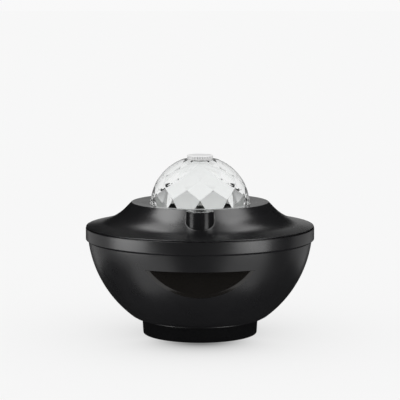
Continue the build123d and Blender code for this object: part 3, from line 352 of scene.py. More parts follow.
# %% Moulded finishes: colour, roughness and height of the grain in millimetres
black = (0.010, 0.010, 0.011)
for name, colour, rough, grain in (
    ("satin_black", black, 0.30, 0.0008),
    ("cover_satin", black, 0.24, 0.0008),
    # The foot's copy of the black is darker in colour: painted shade for the foot under the bowl's
    # overhang. It is also duller.
    ("foot_satin", (0.0055, 0.0055, 0.0062), 0.36, 0.006),
    ("base_black", (0.012, 0.012, 0.012), 0.48, 0.010),
    ("button_black", (0.030, 0.030, 0.032), 0.42, 0.004),
    ("chassis_white", (0.86, 0.86, 0.85), 0.42, 0.006),
    ("gear_white", (0.80, 0.80, 0.77), 0.36, 0.004),
    ("chip_black", (0.018, 0.018, 0.020), 0.55, 0.012),
    ("pad_rubber", (0.028, 0.028, 0.028), 0.80, 0.030),
    ("magnet_ferrite", (0.035, 0.034, 0.034), 0.62, 0.030),
    ("vent_frost", (0.97, 0.97, 0.97), 0.45, 0.004),
):
    moulded(name, colour, rough, grain * MM)
print("finishes:", len(finishes))

# %% [markdown]
# ## Clear plastic
# The dome is cut acrylic, thick and clear, and a real closed solid: rays bend where they enter
# and again where they leave, and the facets do the rest. A faint waviness keeps the flats from
# looking computed. The panel in front and the laser's window are dyed to a glossy black.

# %% Clear and dyed plastic
def clear(name, colour, rough, refraction, flow_height, flow_width):
    """Clear plastic with the slow unevenness of a moulded surface."""
    tree, shader = new_finish(name, Roughness=rough, IOR=refraction, Transmission_Weight=1.0)
    flow = object_noise(tree, flow_width, detail=1.0)
    tint(tree, shader, (flow, "Fac"), [0.985 * c for c in colour], colour)
    add_bump(tree, shader, (flow, "Fac"), flow_height)


for name, colour, rough, refraction, height, width in (
    ("crystal_clear", (0.988, 0.998, 0.994), 0.00, 1.49, 0.004, 6.0),
    ("led_lens", (0.98, 0.95, 0.80), 0.12, 1.52, 0.010, 0.8),
    ("grating_film", (0.86, 0.92, 0.95), 0.10, 1.50, 0.002, 1.0),
):
    clear(name, colour, rough, refraction, height * MM, width * MM)
moulded("smoked_window", (0.009, 0.008, 0.007), 0.17, 0.0008 * MM, uneven=0.02)
print("with the clear ones:", len(finishes))

# %% [markdown]
# ## Metal
# The metals inside are turned, drawn or cast, and each leaves its own marks. Turning marks are
# noise that is squeezed along the axis, so it becomes fine rings.

# %% Metals
def metal(name, colour, rough, mark_height, squeeze):
    """Bare metal whose marks are noise squeezed along one axis."""
    tree, shader = new_finish(name, Metallic=1.0)
    mapping = shader_node(tree, "Mapping", Scale=squeeze)
    marks = shader_node(tree, "TexNoise", Scale=1 / (1.5 * MM), Detail=5.0)
    from_object(tree, mapping)
    join(tree, (mapping, "Vector"), (marks, "Vector"))
    pattern = (marks, "Fac")
    uneven_gloss(tree, shader, pattern, rough - 0.06, rough + 0.08)
    tint(tree, shader, pattern, [0.85 * c for c in colour], colour)
    add_bump(tree, shader, pattern, mark_height)


turned_marks = (1, 1, 12)
for name, colour, rough, height, squeeze in (
    ("screw_steel", (0.62, 0.61, 0.60), 0.30, 0.004, turned_marks),
    ("motor_steel", (0.70, 0.69, 0.67), 0.34, 0.003, turned_marks),
    ("sink_aluminium", (0.82, 0.83, 0.84), 0.36, 0.006, (9, 1, 1)),
    ("laser_brass", (0.78, 0.60, 0.30), 0.24, 0.003, turned_marks),
    ("capacitor_can", (0.75, 0.75, 0.76), 0.28, 0.002, turned_marks),
):
    metal(name, colour, rough, height * MM, squeeze)
print("with the metals:", len(finishes))

# %% [markdown]
# ## Boards and paper
# A printed board is green or white lacquer over copper, which shows through as fields of another
# tone and in faint relief. The cells of a Voronoi texture make them without a picture. The
# loudspeaker's cone is pressed paper fibre.

# %% Boards and paper
def board(name, colour, copper_colour):
    """Lacquered circuit board with copper fields round the middles of cells."""
    tree, shader = new_finish(name, Roughness=0.32, Coat_Weight=0.3, Coat_Roughness=0.2)
    cells = shader_node(
        tree, "TexVoronoi", {"distance": "MANHATTAN"}, Scale=1 / (3.2 * MM), Randomness=0.6
    )
    from_object(tree, cells)
    ramp = tint(tree, shader, (cells, "Distance"), copper_colour, colour)
    ramp.color_ramp.elements[0].position = 0.42
    ramp.color_ramp.elements[1].position = 0.50
    add_bump(tree, shader, (ramp, "Color"), -0.035 * MM)


def fibre(name, colour):
    """Pressed paper: fine rough noise for its fibres."""
    tree, shader = new_finish(name, Roughness=0.9)
    fine = object_noise(tree, 0.35 * MM, detail=6.0, roughness=0.7)
    tint(tree, shader, (fine, "Fac"), [0.6 * c for c in colour], colour)
    add_bump(tree, shader, (fine, "Fac"), 0.05 * MM)


board("board_green", (0.012, 0.11, 0.045), (0.03, 0.19, 0.07))
board("board_white", (0.80, 0.80, 0.79), (0.70, 0.69, 0.64))
fibre("cone_paper", (0.045, 0.042, 0.040))
print("all finishes:", len(finishes))

# %% Dress the nodes that keep their own mesh
for node in nodes.values():
    for slot in node.material_slots:
        slot.material = finishes[slot.material.name]
print("dressed nodes:", len(nodes))

# %% [markdown]
# ## Surfaces from two parameters
# Every new piece is a grid of points: one parameter runs along a profile and the other round the
# axis or across the piece. Numpy works out the whole grid, and four neighbouring points make a
# face. Where a grid shrinks to a pole, its points fall together and are welded.

# %% From a grid of points to a piece
seam_weld = 1e-7
crease = radians(28)
facet_crease = radians(5)


def grid_faces(rows, columns, wrap_rows=False, wrap_columns=True):
    """Corner indices of the quads between neighbouring rows and columns of a grid."""
    index = np.arange(rows * columns).reshape(rows, columns)
    if wrap_columns:
        index = np.hstack([index, index[:, :1]])
    if wrap_rows:
        index = np.vstack([index, index[:1]])
    corners = (index[:-1, :-1], index[:-1, 1:], index[1:, 1:], index[1:, :-1])
    return np.stack(corners, axis=-1).reshape(-1, 4)


def tidy_mesh(mesh, sharp=crease):
    """Weld points that fall together, drop faces without area and crease the real edges."""
    build = bmesh.new()
    build.from_mesh(mesh)
    bmesh.ops.remove_doubles(build, verts=build.verts, dist=seam_weld)
    bmesh.ops.dissolve_degenerate(build, edges=build.edges, dist=seam_weld)
    build.to_mesh(mesh)
    build.free()
    mesh.shade_smooth()
    mesh.set_sharp_from_angle(angle=sharp)


def face_out(mesh):
    """Turn all faces outward."""
    build = bmesh.new()
    build.from_mesh(mesh)
    bmesh.ops.recalc_face_normals(build, faces=build.faces)
    build.to_mesh(mesh)
    build.free()


def mesh_object(name, parts):
    """Join (points in millimetres, quads) grids into one mesh object."""
    points = np.vstack([grid.reshape(-1, 3) for grid, faces in parts]) * MM
    starts = np.cumsum([0] + [grid.size // 3 for grid, faces in parts])
    quads = np.vstack([faces + start for (grid, faces), start in zip(parts, starts)])
    mesh = bpy.data.meshes.new(name)
    mesh.vertices.add(len(points))
    mesh.vertices.foreach_set("co", points.ravel())
    mesh.loops.add(quads.size)
    mesh.loops.foreach_set("vertex_index", quads.ravel())
    mesh.polygons.add(len(quads))
    mesh.polygons.foreach_set("loop_start", np.arange(0, quads.size, 4))
    mesh.update(calc_edges=True)
    tidy_mesh(mesh)
    face_out(mesh)
    return new_object(name, mesh)


# %% Finish, body and nodes of a piece
def fit(piece, body, slot, *stands_for, finish=None):
    """Give a piece its finish, fix it to its body and let it stand for its nodes."""
    piece.data.materials.clear()
    piece.data.materials.append(finishes[finish or slot])
    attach(piece, body)
    if stands_for:
        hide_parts(*stands_for)
    print(piece.name, "faces:", len(piece.data.polygons), "on", body)


# %% Profiles
def arc(centre, radius, start, end, steps):
    """Points on a circle from one angle to another, in degrees."""
    angle = np.radians(np.linspace(start, end, steps))
    return np.column_stack([np.cos(angle), np.sin(angle)]) * radius + centre


def rounded(corners, radii, steps=8):
    """A profile of straight runs whose corners are rounded by arcs of the given radii.

    An arc touches both runs. It starts radius * tan(turn / 2) before its corner, where turn is
    the angle between the runs, and its centre lies on the corner's bisector.
    """
    corners = np.asarray(corners, float)
    pieces = []
    for corner, before, after, radius in zip(
        corners, np.roll(corners, 1, axis=0), np.roll(corners, -1, axis=0), radii
    ):
        arriving = (corner - before) / max(np.linalg.norm(corner - before), 1e-9)
        leaving = (after - corner) / max(np.linalg.norm(after - corner), 1e-9)
        crossing = arriving[0] * leaving[1] - arriving[1] * leaving[0]
        turn = np.arctan2(crossing, arriving @ leaving)
        if radius == 0 or abs(turn) < 1e-6:
            pieces.append(corner[None])
            continue
        reach = radius * abs(np.tan(turn / 2))
        inward = np.sign(turn) * np.array([-arriving[1], arriving[0]])
        centre = corner - arriving * reach + inward * radius
        first = np.degrees(np.arctan2(*(-inward)[::-1]))
        pieces.append(arc(centre, radius, first, first + np.degrees(turn), steps))
    return np.vstack(pieces)


# %% Turned pieces
def turned(profile, columns=360, centre=(0, 0)):
    """Turn a profile of (radius, height) about a vertical axis: x = r cos a and y = r sin a."""
    angle = np.linspace(0, 2 * pi, columns, endpoint=False)
    radius = profile[:, :1]
    height = np.broadcast_to(profile[:, 1:], (len(profile), columns))
    x = centre[0] + radius * np.cos(angle)
    y = centre[1] + radius * np.sin(angle)
    return np.stack([x, y, height], axis=-1)


def ring(name, profile, columns=360):
    """A closed ring: its profile goes up outside and comes down inside."""
    faces = grid_faces(len(profile), columns, wrap_rows=True)
    return mesh_object(name, [(turned(profile, columns), faces)])


def knob(name, profile, columns, centre=(0, 0)):
    """A solid whose profile starts and ends on the axis."""
    faces = grid_faces(len(profile), columns)
    return mesh_object(name, [(turned(profile, columns, centre), faces)])


def band_profile(inside, outside, low, high, radii):
    """Section of a plain band: inner and outer radius, lower and upper height, four rounds."""
    return rounded([(inside, low), (outside, low), (outside, high), (inside, high)], radii)


# %% [markdown]
# ## Sizes from the frame
# The outer sizes are read from the nodes' boxes, so the looks follow the model. Walls, rounds
# and slopes can't be read from a box, so they are named here or beside their piece. From here on
# sizes are in millimetres.

# %% Sizes
def box_mm(name):
    """Lowest and highest corner of a node in millimetres."""
    low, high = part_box(name)
    return np.array(low) / MM, np.array(high) / MM


foot_low, foot_high = box_mm("foot_ring")
rim_low, rim_high = box_mm("rim_ring")
bowl_high = box_mm("bowl")[1]
cover_high = box_mm("top_cover")[1]
dome_low, dome_high = box_mm("crystal_dome")
panel_low, panel_high = box_mm("front_window")
laser_low, laser_high = box_mm("laser_window")

slip = 0.2                  # between pieces that slide together
bowl_bottom = foot_high[2]
foot_radius = foot_high[0]
rim_radius = rim_high[0]
rim_step = rim_low[2]
rim_top = rim_high[2]
step_radius = bowl_high[0]
cover_radius = cover_high[0]
collar_height = cover_high[2]
panel_face = -panel_low[1]  # distances from the axis
panel_seat = -panel_high[1]
flat_distance = panel_face
ledge_height = panel_high[2] + 0.15
laser_y = (laser_low[1] + laser_high[1]) / 2
print("rim radius:", round(rim_radius, 2), "ledge:", round(ledge_height, 2))

# %% [markdown]
# ## Bowl
# The bowl's skin is one arc turned round the axis, with two half-moon flats: one in front for
# the dark panel and one behind for the keys. A boolean cut would leave long triangles across the
# smooth skin. Instead the radius is a rule: at each height and angle it is the skin's, or the
# flat's where the flat lies nearer to the axis. Two columns of a row always stand on the flat's
# outline, so the outline is a clean chain of edges. Rows crowd together, by a square law, where
# a half-moon begins. The front flat leans out a little below its ledge.

# %% Bowl skin
bowl_curve = 81.07
bowl_overhang = 5.6
bowl_round = 0.8
bowl_wall = 2.6
flat_wall = 2.4
rim_wall = 2.5
land_radius = rim_radius - rim_wall - slip
mouth_radius = land_radius - 2.0
floor_top = bowl_bottom + 2.4
floor_opening = 22.0
lower_radius = foot_radius + bowl_overhang
panel_lean = 0.085


def arc_centre(low, high, radius):
    """Centre of the arc through two profile points, on the axis' side."""
    low, high = np.asarray(low), np.asarray(high)
    half = (high - low) / 2
    length = np.linalg.norm(half)
    reach = sqrt(radius**2 - length**2)
    return low + half + reach / length * np.array([-half[1], half[0]])


curve_r, curve_z = arc_centre((lower_radius, bowl_bottom), (step_radius, rim_step), bowl_curve)
print("centre of the bowl's arc:", round(curve_r, 2), round(curve_z, 2))


def skin(height, inset=0.0):
    """Radius of the bowl's skin at a height, or of the wall's inner face at an inset."""
    return curve_r + np.sqrt((bowl_curve - inset) ** 2 - (curve_z - height) ** 2)


def tip_height(distance, inset=0.0):
    """Height at which the skin is as far from the axis as a flat is."""
    return curve_z - sqrt((bowl_curve - inset) ** 2 - (distance - curve_r) ** 2)


# %% Heights of rows and the leaning flat
def square_law(low, high, steps):
    """Heights from low to high that crowd together at low."""
    return low + (high - low) * np.linspace(0, 1, steps) ** 2


def leaning(distance, height):
    """Distance of the leaning front flat: more by a share of the drop below the ledge."""
    return distance + panel_lean * (ledge_height - height)


def leaning_tip(distance):
    """Height where the skin meets the leaning flat, closed in on step by step."""
    height = tip_height(distance)
    for _ in range(30):
        height = tip_height(leaning(distance, height))
    return height


# %% Grid of the bowl's wall
def flat_angle(distance, radius):
    """Half the angle that a flat takes from a circle, or nothing where it lies outside it."""
    return np.arccos(np.minimum(1, distance / radius))


def wall_rows(heights, radii, front, rear, held=None):
    """Rows of the bowl's wall: height, radius, both half angles and both flats' distances.

    Where the wall has its flats, a row's columns follow their outlines. Where held gives the
    radius of the nearest row with flats, the columns keep that row's angles on a full circle.
    """
    spread, reach = (radii, 1.0) if held is None else (held, np.inf)
    return np.column_stack(np.broadcast_arrays(
        heights, radii, flat_angle(front, spread), flat_angle(rear, spread),
        front * reach, rear * reach,
    ))


def bowl_grid(rows, columns):
    """Grid of the bowl's wall. Four runs of columns share the turn: front flat, side, rear, side.

    The radius is the least of the row's own and distance / |cos(angle from the flat)|.
    """
    height, own, half_front, half_rear, front, rear = rows.T[:, :, None]
    flat_run = np.linspace(-1, 1, columns // 4, endpoint=False)
    side_run = np.linspace(0, 1, columns // 4, endpoint=False)
    side_span = pi - half_front - half_rear
    azimuth = np.hstack([
        half_front * flat_run,
        half_front + side_span * side_run,
        pi + half_rear * flat_run,
        pi + half_rear + side_span * side_run,
    ])
    facing = np.cos(azimuth)
    to_front = np.where(facing > 0.01, front / np.maximum(facing, 0.01), np.inf)
    to_rear = np.where(facing < -0.01, rear / np.maximum(-facing, 0.01), np.inf)
    radius = np.minimum(own, np.minimum(to_front, to_rear))
    height = np.broadcast_to(height, azimuth.shape)
    return np.stack([radius * np.sin(azimuth), -radius * np.cos(azimuth), height], axis=-1)


# %% Bowl rows, up the outside and down the inside
front_tip = leaning_tip(panel_seat)
rear_tip = tip_height(flat_distance)
inside_front = panel_seat - flat_wall
inside_rear = flat_distance - flat_wall
inside_roof = ledge_height + bowl_wall
inside_tip = tip_height(inside_front, bowl_wall)
cavity_edge = curve_z - sqrt((bowl_curve - bowl_wall) ** 2 - (mouth_radius - curve_r) ** 2)
lower_edge = arc((lower_radius - bowl_round, bowl_bottom + bowl_round), bowl_round, -90, -25, 6)
skin_heights = np.concatenate([
    np.linspace(lower_edge[-1, 1], front_tip, 28)[1:-1],
    square_law(front_tip, rear_tip, 12)[:-1],
    square_law(rear_tip, ledge_height, 48),
])
upper_heights = np.linspace(ledge_height, rim_step, 14)
hollow_top = np.linspace(cavity_edge, inside_roof, 8)
hollow_low = np.concatenate([
    square_law(inside_tip, inside_roof, 30)[::-1], np.linspace(inside_tip, floor_top, 20)[1:]
])
ledge_radius = skin(ledge_height)
roof_radius = skin(inside_roof, bowl_wall)
outside = (panel_seat, flat_distance)
inside = (inside_front, inside_rear)
rim_rows = np.array([(rim_step, land_radius), (rim_top, land_radius), (rim_top, mouth_radius)])
floor_rows = np.array([(floor_top, floor_opening), (bowl_bottom, floor_opening)])
bowl_rows = np.vstack([
    wall_rows(lower_edge[:, 1], lower_edge[:, 0], *outside),
    wall_rows(skin_heights, skin(skin_heights), leaning(panel_seat, skin_heights), flat_distance),
    wall_rows(upper_heights, skin(upper_heights), *outside, held=ledge_radius),
    wall_rows(*rim_rows.T, *outside, held=ledge_radius),
    wall_rows(hollow_top, skin(hollow_top, bowl_wall), *inside, held=roof_radius),
    wall_rows(hollow_low, skin(hollow_low, bowl_wall), *inside),
    wall_rows(*floor_rows.T, *inside),
])
bowl_points = bowl_grid(bowl_rows, 480)
bowl_faces = grid_faces(*bowl_points.shape[:2], wrap_rows=True)
bowl_piece = mesh_object("bowl_shell", [(bowl_points, bowl_faces)])
print("bowl rows:", len(bowl_rows))

# %% [markdown]
# ## Holes in the flats
# The four key holes and the power inlet's slot go through the rear flat, and the receiver's
# sight hole goes through the front one, behind the dark panel. They are cut with a boolean,
# because long triangles do no harm on a flat. Each cutter is a prism made from an outline.

# %% Prisms and cuts
def prism_parts(outline, centre, low, high, axis="y"):
    """Grid and faces of a closed prism: an outline of (across, up) carried along an axis."""
    outline = np.asarray(outline, float)
    middle = outline.mean(axis=0)
    layers = [(low, middle), (low, outline), (high, outline), (high, middle)]
    grids = []
    for level, points in layers:
        across, up = np.broadcast_to(points, outline.shape).T
        depth = np.full(len(outline), level)
        order = (across, depth, up) if axis == "y" else (across, up, depth)
        grids.append(np.stack(order, axis=-1) + np.asarray(centre))
    grid = np.stack(grids)
    return grid, grid_faces(len(layers), len(outline))


def slot_outline(width, height, steps=24):
    """A slot with round ends: two half circles joined by straight runs."""
    radius = height / 2
    right = arc((width / 2 - radius, 0), radius, -90, 90, steps)
    left = arc((radius - width / 2, 0), radius, 90, 270, steps)
    return np.vstack([right, left])


def cut(piece, operation, tool, sharp=crease):
    """Join or subtract a closed tool, remove the tool and crease the result."""
    change = piece.modifiers.new("cut", "BOOLEAN")
    change.operation = operation
    change.solver = "EXACT"
    change.object = tool
    graph = bpy.context.evaluated_depsgraph_get()
    mesh = bpy.data.meshes.new_from_object(piece.evaluated_get(graph))
    piece.modifiers.clear()
    piece.data = mesh
    bpy.data.objects.remove(tool)
    tidy_mesh(mesh, sharp)


# %% Cut the bowl
key_radius = 3.5
key_pitch = 10.0
key_gap = 0.3
inlet_width = 8.94
inlet_thickness = 3.26
inlet_gap = 0.2
sight_radius = 3.2
key_height, inlet_height, receiver_height = (
    sum(box_mm(name))[2] / 2 for name in ("button_1", "power_inlet", "remote_receiver")
)
through_rear = (inside_rear - 1, flat_distance + 1)
through_front = (-panel_seat - 1, -inside_front + 1)
circle = arc((0, 0), 1, 0, 360, 49)[:-1]
key_holes = [
    prism_parts(circle * (key_radius + key_gap), (x, 0, key_height), *through_rear)
    for x in key_pitch * np.arange(-1.5, 2)
]
inlet_outline = slot_outline(inlet_width + 2 * inlet_gap, inlet_thickness + 2 * inlet_gap)
inlet_slot = prism_parts(inlet_outline, (0, 0, inlet_height), *through_rear)
sight_hole = prism_parts(circle * sight_radius, (0, 0, receiver_height), *through_front)
cut(bowl_piece, "DIFFERENCE", mesh_object("holes", [*key_holes, inlet_slot, sight_hole]))
fit(bowl_piece, "housing", "satin_black", "bowl")

# %% [markdown]
# ## Rim ring and foot
# Both are turned rings. Their edges are rounded by about half a millimetre, as a mould leaves
# them, and that round draws the bright lines along the rim and the foot. A small bead closes the
# joint between the foot and the bowl.

# %% Rim ring
rim_lip = 0.85
rim_bevel = 1.3
rim_inside = rim_radius - rim_wall
rim_profile = rounded(
    [(rim_inside, rim_step), (rim_inside + rim_lip, rim_step), (rim_radius, rim_step + rim_bevel),
     (rim_radius, rim_top), (rim_inside, rim_top)],
    [0, 0.25, 0.6, 0.6, 0.15],
)
fit(ring("rim_band", rim_profile, 480), "housing", "satin_black", "rim_ring")

# %% Foot ring, with the shelf that carries the base cover
foot_wall = 2.4
foot_taper = 0.8
shelf_width = 2.3
shelf_height = 1.6
base_recess = 0.4
base_thickness = 2.4
foot_outside = foot_radius - foot_taper
foot_inside = foot_outside - foot_wall
shelf_low = foot_low[2] + base_recess + base_thickness
shelf_top = shelf_low + shelf_height
foot_profile = rounded(
    [(foot_inside, foot_low[2]), (foot_outside, foot_low[2]),
     (foot_radius, bowl_bottom), (foot_inside, bowl_bottom),
     (foot_inside, shelf_top), (foot_inside - shelf_width, shelf_top),
     (foot_inside - shelf_width, shelf_low), (foot_inside, shelf_low)],
    [0.2, 0.45, 0.40, 0.2, 0.3, 0.2, 0.2, 0],
)
# The foot's finish is darker in colour than the bowl's: painted shade under the bowl.
fit(ring("foot_band", foot_profile), "housing", "satin_black", "foot_ring", finish="foot_satin")

# %% Bead where the foot meets the bowl
bead_stand = 0.25
bead_height = 0.9
bead_top = bowl_bottom - 0.8
bead_profile = band_profile(
    foot_radius - 1.0, foot_radius + bead_stand, bead_top - bead_height, bead_top, [0, 0.4, 0.3, 0]
)
fit(ring("foot_bead", bead_profile), "housing", "satin_black")

# %% [markdown]
# ## Cover
# The cover is one moulding: a shallow rim slope, a hollow knee, a steep neck and a collar whose
# top falls a little towards the dome. Its half section is drawn once, outside going in and
# inside coming back, and turned. The laser's boss is part of the same moulding and is joined.

# %% Slopes and walls of the cover
seam_height = rim_top + 0.3
rim_slope = radians(13.0)
neck_slope = radians(46.4)
knee_radius = 36.0
collar_radius = 49.5
collar_lip = 1.2
collar_dish = 1.0
cover_wall = 2.2
cover_edge = 0.6
flange_width = 4.0
dome_radius = dome_high[0] - flange_width
dome_opening = dome_radius + 2 * slip
skirt_radius = mouth_radius - slip
skirt_wall = 1.6
skirt_depth = 6.0
corner_steps = 20
print("dome opening:", round(dome_opening, 2))


def slope_meeting(edge, corner):
    """Where the rim slope from the edge meets the neck slope from the collar's corner."""
    run = edge[0] - corner[0]
    rise = corner[1] - edge[1]
    from_corner = (rise - run * tan(rim_slope)) / (tan(neck_slope) - tan(rim_slope))
    return corner[0] + from_corner, corner[1] - from_corner * tan(neck_slope)


# %% Cover profile
outer_edge = (cover_radius, seam_height + cover_edge)
outer_corner = (collar_radius, collar_height)
inner_edge = (cover_radius, seam_height + cover_edge - cover_wall / cos(rim_slope))
inner_corner_height = collar_height - collar_dish - cover_wall
inner_slant = cover_wall / sin(neck_slope)
inner_corner = (
    collar_radius - inner_slant + (collar_height - inner_corner_height) / tan(neck_slope),
    inner_corner_height,
)
skirt_inside = skirt_radius - skirt_wall
inner_knee = slope_meeting(inner_edge, inner_corner)
skirt_root = inner_knee[1] + (inner_knee[0] - skirt_inside) * tan(rim_slope)
cover_profile = rounded(
    [(skirt_radius, seam_height), (cover_radius, seam_height), outer_edge,
     slope_meeting(outer_edge, outer_corner), outer_corner,
     (dome_opening, collar_height - collar_dish), (dome_opening, inner_corner_height),
     inner_corner, inner_knee, (skirt_inside, skirt_root),
     (skirt_inside, seam_height - skirt_depth), (skirt_radius, seam_height - skirt_depth)],
    [0.0, 0.1, 0.5, knee_radius, collar_lip, 0.3, 0.2, 0.5, knee_radius + cover_wall, 0, 0.2, 0.2],
    steps=corner_steps,
)


def cover_height(radius):
    """Height of the cover's skin at a distance from the axis, read off its profile."""
    skin_part = cover_profile[1 + corner_steps:1 + 5 * corner_steps][::-1]
    return np.interp(radius, skin_part[:, 0], skin_part[:, 1])


print("cover profile:", len(cover_profile), "points")

# %% [markdown]
# ## Laser boss
# The boss is a round post whose foot flares onto the sloping cover. The flare is a quarter
# circle sheared to the slope: at an angle t, a point stands f (1 - sin t) further out than the
# wall and f (1 - cos t) above the cover's skin, so it leaves the slope and meets the wall
# without a crease. The boss goes down through the skin, and the boolean welds the two.

# %% Boss
grating_low, grating_high = box_mm("grating_gear")
boss_hollow = (grating_high[0] - grating_low[0]) / 2 + 0.4
boss_radius = boss_hollow + 1.5
boss_round = 0.6
boss_root = 1.4             # above the seam
flare = 0.6
boss_turn = np.linspace(0, 2 * pi, 192, endpoint=False)
boss_top = collar_height
print("boss radius:", round(boss_radius, 2))

# %% Boss from under the skin, over flare and wall, to its top
share = np.linspace(0, pi / 2, 12)[:, None]
boss_reach = boss_radius + flare * (1 - np.sin(share))
boss_x = boss_reach * np.cos(boss_turn)
boss_y = laser_y + boss_reach * np.sin(boss_turn)
ground = cover_height(np.hypot(boss_x, boss_y))
room = np.clip(boss_top - boss_round - ground, 0.02, None)
height = ground + np.minimum(flare, 0.9 * room) * (1 - np.cos(share)) - 0.01
flare_rows = np.stack([boss_x, boss_y, np.minimum(height, boss_top - boss_round)], axis=-1)
top_round = arc((boss_radius - boss_round, boss_top - boss_round), boss_round, 0, 90, 10)
top_rows = turned(np.vstack([top_round, [(0, boss_top)]]), len(boss_turn), (0, laser_y))
root = flare_rows[:1].copy()
root[..., 2] = seam_height + boss_root
middle = root.copy()
middle[..., :2] = (0, laser_y)
boss_grid = np.concatenate([middle, root, flare_rows, top_rows])
print("boss grid:", boss_grid.shape)
boss_parts = [(boss_grid, grid_faces(*boss_grid.shape[:2]))]
cover_piece = ring("cover_shell", cover_profile, 480)
cut(cover_piece, "UNION", mesh_object("boss", boss_parts))

# %% Hollow of the boss and seat of its window
window_radius = (laser_high[0] - laser_low[0]) / 2
window_top = laser_high[2]
window_land = 1.0
seat_low = boss_top - cover_wall
hollow_profile = np.array([
    (0, seam_height - 1), (boss_hollow, seam_height - 1), (boss_hollow, seat_low),
    (window_radius + slip, seat_low), (window_radius + slip, window_top),
    (window_radius - window_land, window_top), (window_radius - window_land, boss_top + 1),
    (0, boss_top + 1),
])
cut(cover_piece, "DIFFERENCE", knob("boss_hollow", hollow_profile, 128, (0, laser_y)))
fit(cover_piece, "housing", "satin_black", "top_cover", finish="cover_satin")

# %% [markdown]
# ## Keys
# The four keys at the back are soft caps with a dished top, so a fingertip finds them without
# looking. A cap is a profile turned about its own axis, which here points backwards, and its
# face falls by a parabola from rim to middle. Each key rides on its own body, because it is
# pressed by itself.

# %% Keys
key_dish = 0.45
key_flange = 1.1
flange_back = 1.0
key_rim = 0.45
key_columns = 72


def key_parts(middle, back, face):
    """Turned cap along Y: flange, wall, rounded rim and a dish, which is d (1 - q^2) deep at q."""
    share = np.linspace(1, 0, 16)[:, None]
    dish = np.hstack([(key_radius - 0.55) * share, face - key_dish * (1 - share**2)])
    rim = arc((key_radius - key_rim, face - key_rim), key_rim, 0, 80, 8)
    edge = key_radius + key_flange
    shelf = back + flange_back
    profile = np.vstack([[(0, back), (edge, back), (edge, shelf), (key_radius, shelf)], rim, dish])
    grid = turned(profile, key_columns)
    grid = np.stack([middle + grid[..., 0], grid[..., 2], key_height + grid[..., 1]], axis=-1)
    return grid, grid_faces(len(profile), key_columns)


for number in range(1, 5):
    low, high = box_mm(f"button_{number}")
    middle = (low[0] + high[0]) / 2
    key_piece = mesh_object(f"key_cap_{number}", [key_parts(middle, low[1], high[1])])
    fit(key_piece, f"button_{number}", "button_black", f"button_{number}")

# %% [markdown]
# ## Front panel
# The dark panel in front is a slice of the bowl's own form: a flat face, bounded by the bowl's
# skin below and the ledge above. One parameter runs from the half-moon's tip up to the ledge,
# the other across from skin to skin. Each row is as wide as the skin is at that height, so the
# panel ends flush with the bowl.

# %% Front panel
panel_round = 0.25
panel_rows = 40
panel_columns = 64


def half_width(height, distance):
    """Half the width of a flat at a height: the root of skin squared less distance squared."""
    return np.sqrt(np.maximum(skin(height) ** 2 - distance**2, 0))


def panel_layer(distance, shrink):
    """Points of the panel at a distance from the axis, drawn in by shrink all round."""
    top = panel_high[2] - shrink
    height = square_law(leaning_tip(distance) + 1.6 * shrink, top, panel_rows)[:, None]
    across = np.linspace(-1, 1, panel_columns)[None, :]
    away = leaning(distance, height)
    x = (half_width(height, away) - shrink).clip(0) * across
    return np.stack(np.broadcast_arrays(x, -away, height), axis=-1)


def outline_of(layer):
    """The border of a grid as one closed run of points: top, right, bottom and left."""
    return np.concatenate([layer[-1], layer[-2::-1, -1], layer[0, -2::-1], layer[1:-1, 0]])


layers = [
    panel_layer(panel_seat, 0.0), panel_layer(panel_face - panel_round, 0.0),
    panel_layer(panel_face - 0.3 * panel_round, 0.3 * panel_round),
    panel_layer(panel_face, panel_round),
]
border = np.stack([outline_of(layer) for layer in layers])
face = grid_faces(panel_rows, panel_columns, wrap_columns=False)
panel_piece = mesh_object("front_panel", [
    (layers[0], face[:, ::-1]), (layers[-1], face), (border, grid_faces(*border.shape[:2])),
])
fit(panel_piece, "housing", "smoked_window", "front_window")

# %% [markdown]
# ## Dome
# The dome is smooth outside and cut inside: its hollow is a gem, a block from which planes have
# been sliced. Each row of facets is a ring of planes at one tilt, turned by half a step against
# the next row, which gives the kites and triangles. A corner is where three planes meet and no
# other plane cuts them off, and all threes of planes are solved in one batch. A row below is its
# tilt in degrees, the wall left at a facet's middle, and its turn in steps.

# %% Planes of the hollow
flange_thickness = 1.9
dome_centre = collar_height - 3.1
dome_table = dome_high[2] - dome_centre
facet_count = 10
facet_rows = (
    (0.0, 4.53, 0.0),
    (11.0, 5.24, 0.5),
    (33.3, 5.71, 0.0),
    (48.1, 6.68, 0.5),
    (55.4, 6.75, 0.0),
    (62.2, 6.4, 0.5),
)
table_wall = 4.1
outward = [(0, 0, 1), (0, 0, -1)]
distance = [dome_table - table_wall, dome_centre - dome_low[2] + 1]
for tilt, wall, shift in facet_rows:
    turn = 2 * pi * (np.arange(facet_count) + shift) / facet_count
    up = np.full(facet_count, sin(radians(tilt)))
    flat = cos(radians(tilt))
    outward.extend(np.column_stack([flat * np.sin(turn), -flat * np.cos(turn), up]))
    distance.extend([dome_radius - wall] * facet_count)
outward, distance = np.array(outward), np.array(distance)
print("planes of the gem:", len(distance))


# %% Corners and facets of the gem
def corner_points(outward, distance):
    """Points where three planes meet and which lie under all the other planes."""
    threes = np.array(list(combinations(range(len(distance)), 3)))
    solid_angle = np.linalg.det(outward[threes])
    threes = threes[np.abs(solid_angle) > 1e-6]
    points = np.linalg.solve(outward[threes], distance[threes][..., None])[..., 0]
    kept = (points @ outward.T <= distance + 1e-6).all(axis=1)
    return np.unique(points[kept].round(6), axis=0)


def facet_loops(corners, outward, distance):
    """For each plane, the corners that lie on it, in order round its middle."""
    loops = []
    for direction, reach in zip(outward, distance):
        found = np.flatnonzero(np.abs(corners @ direction - reach) < 1e-4)
        if len(found) < 3:
            continue
        side = np.cross(direction, (0, 0, 1) if abs(direction[2]) < 0.9 else (0, 1, 0))
        up = np.cross(direction, side)
        spoke = corners[found] - corners[found].mean(axis=0)
        order = np.argsort(np.arctan2(spoke @ up, spoke @ side))
        loops.append(found[order].tolist())
    return loops


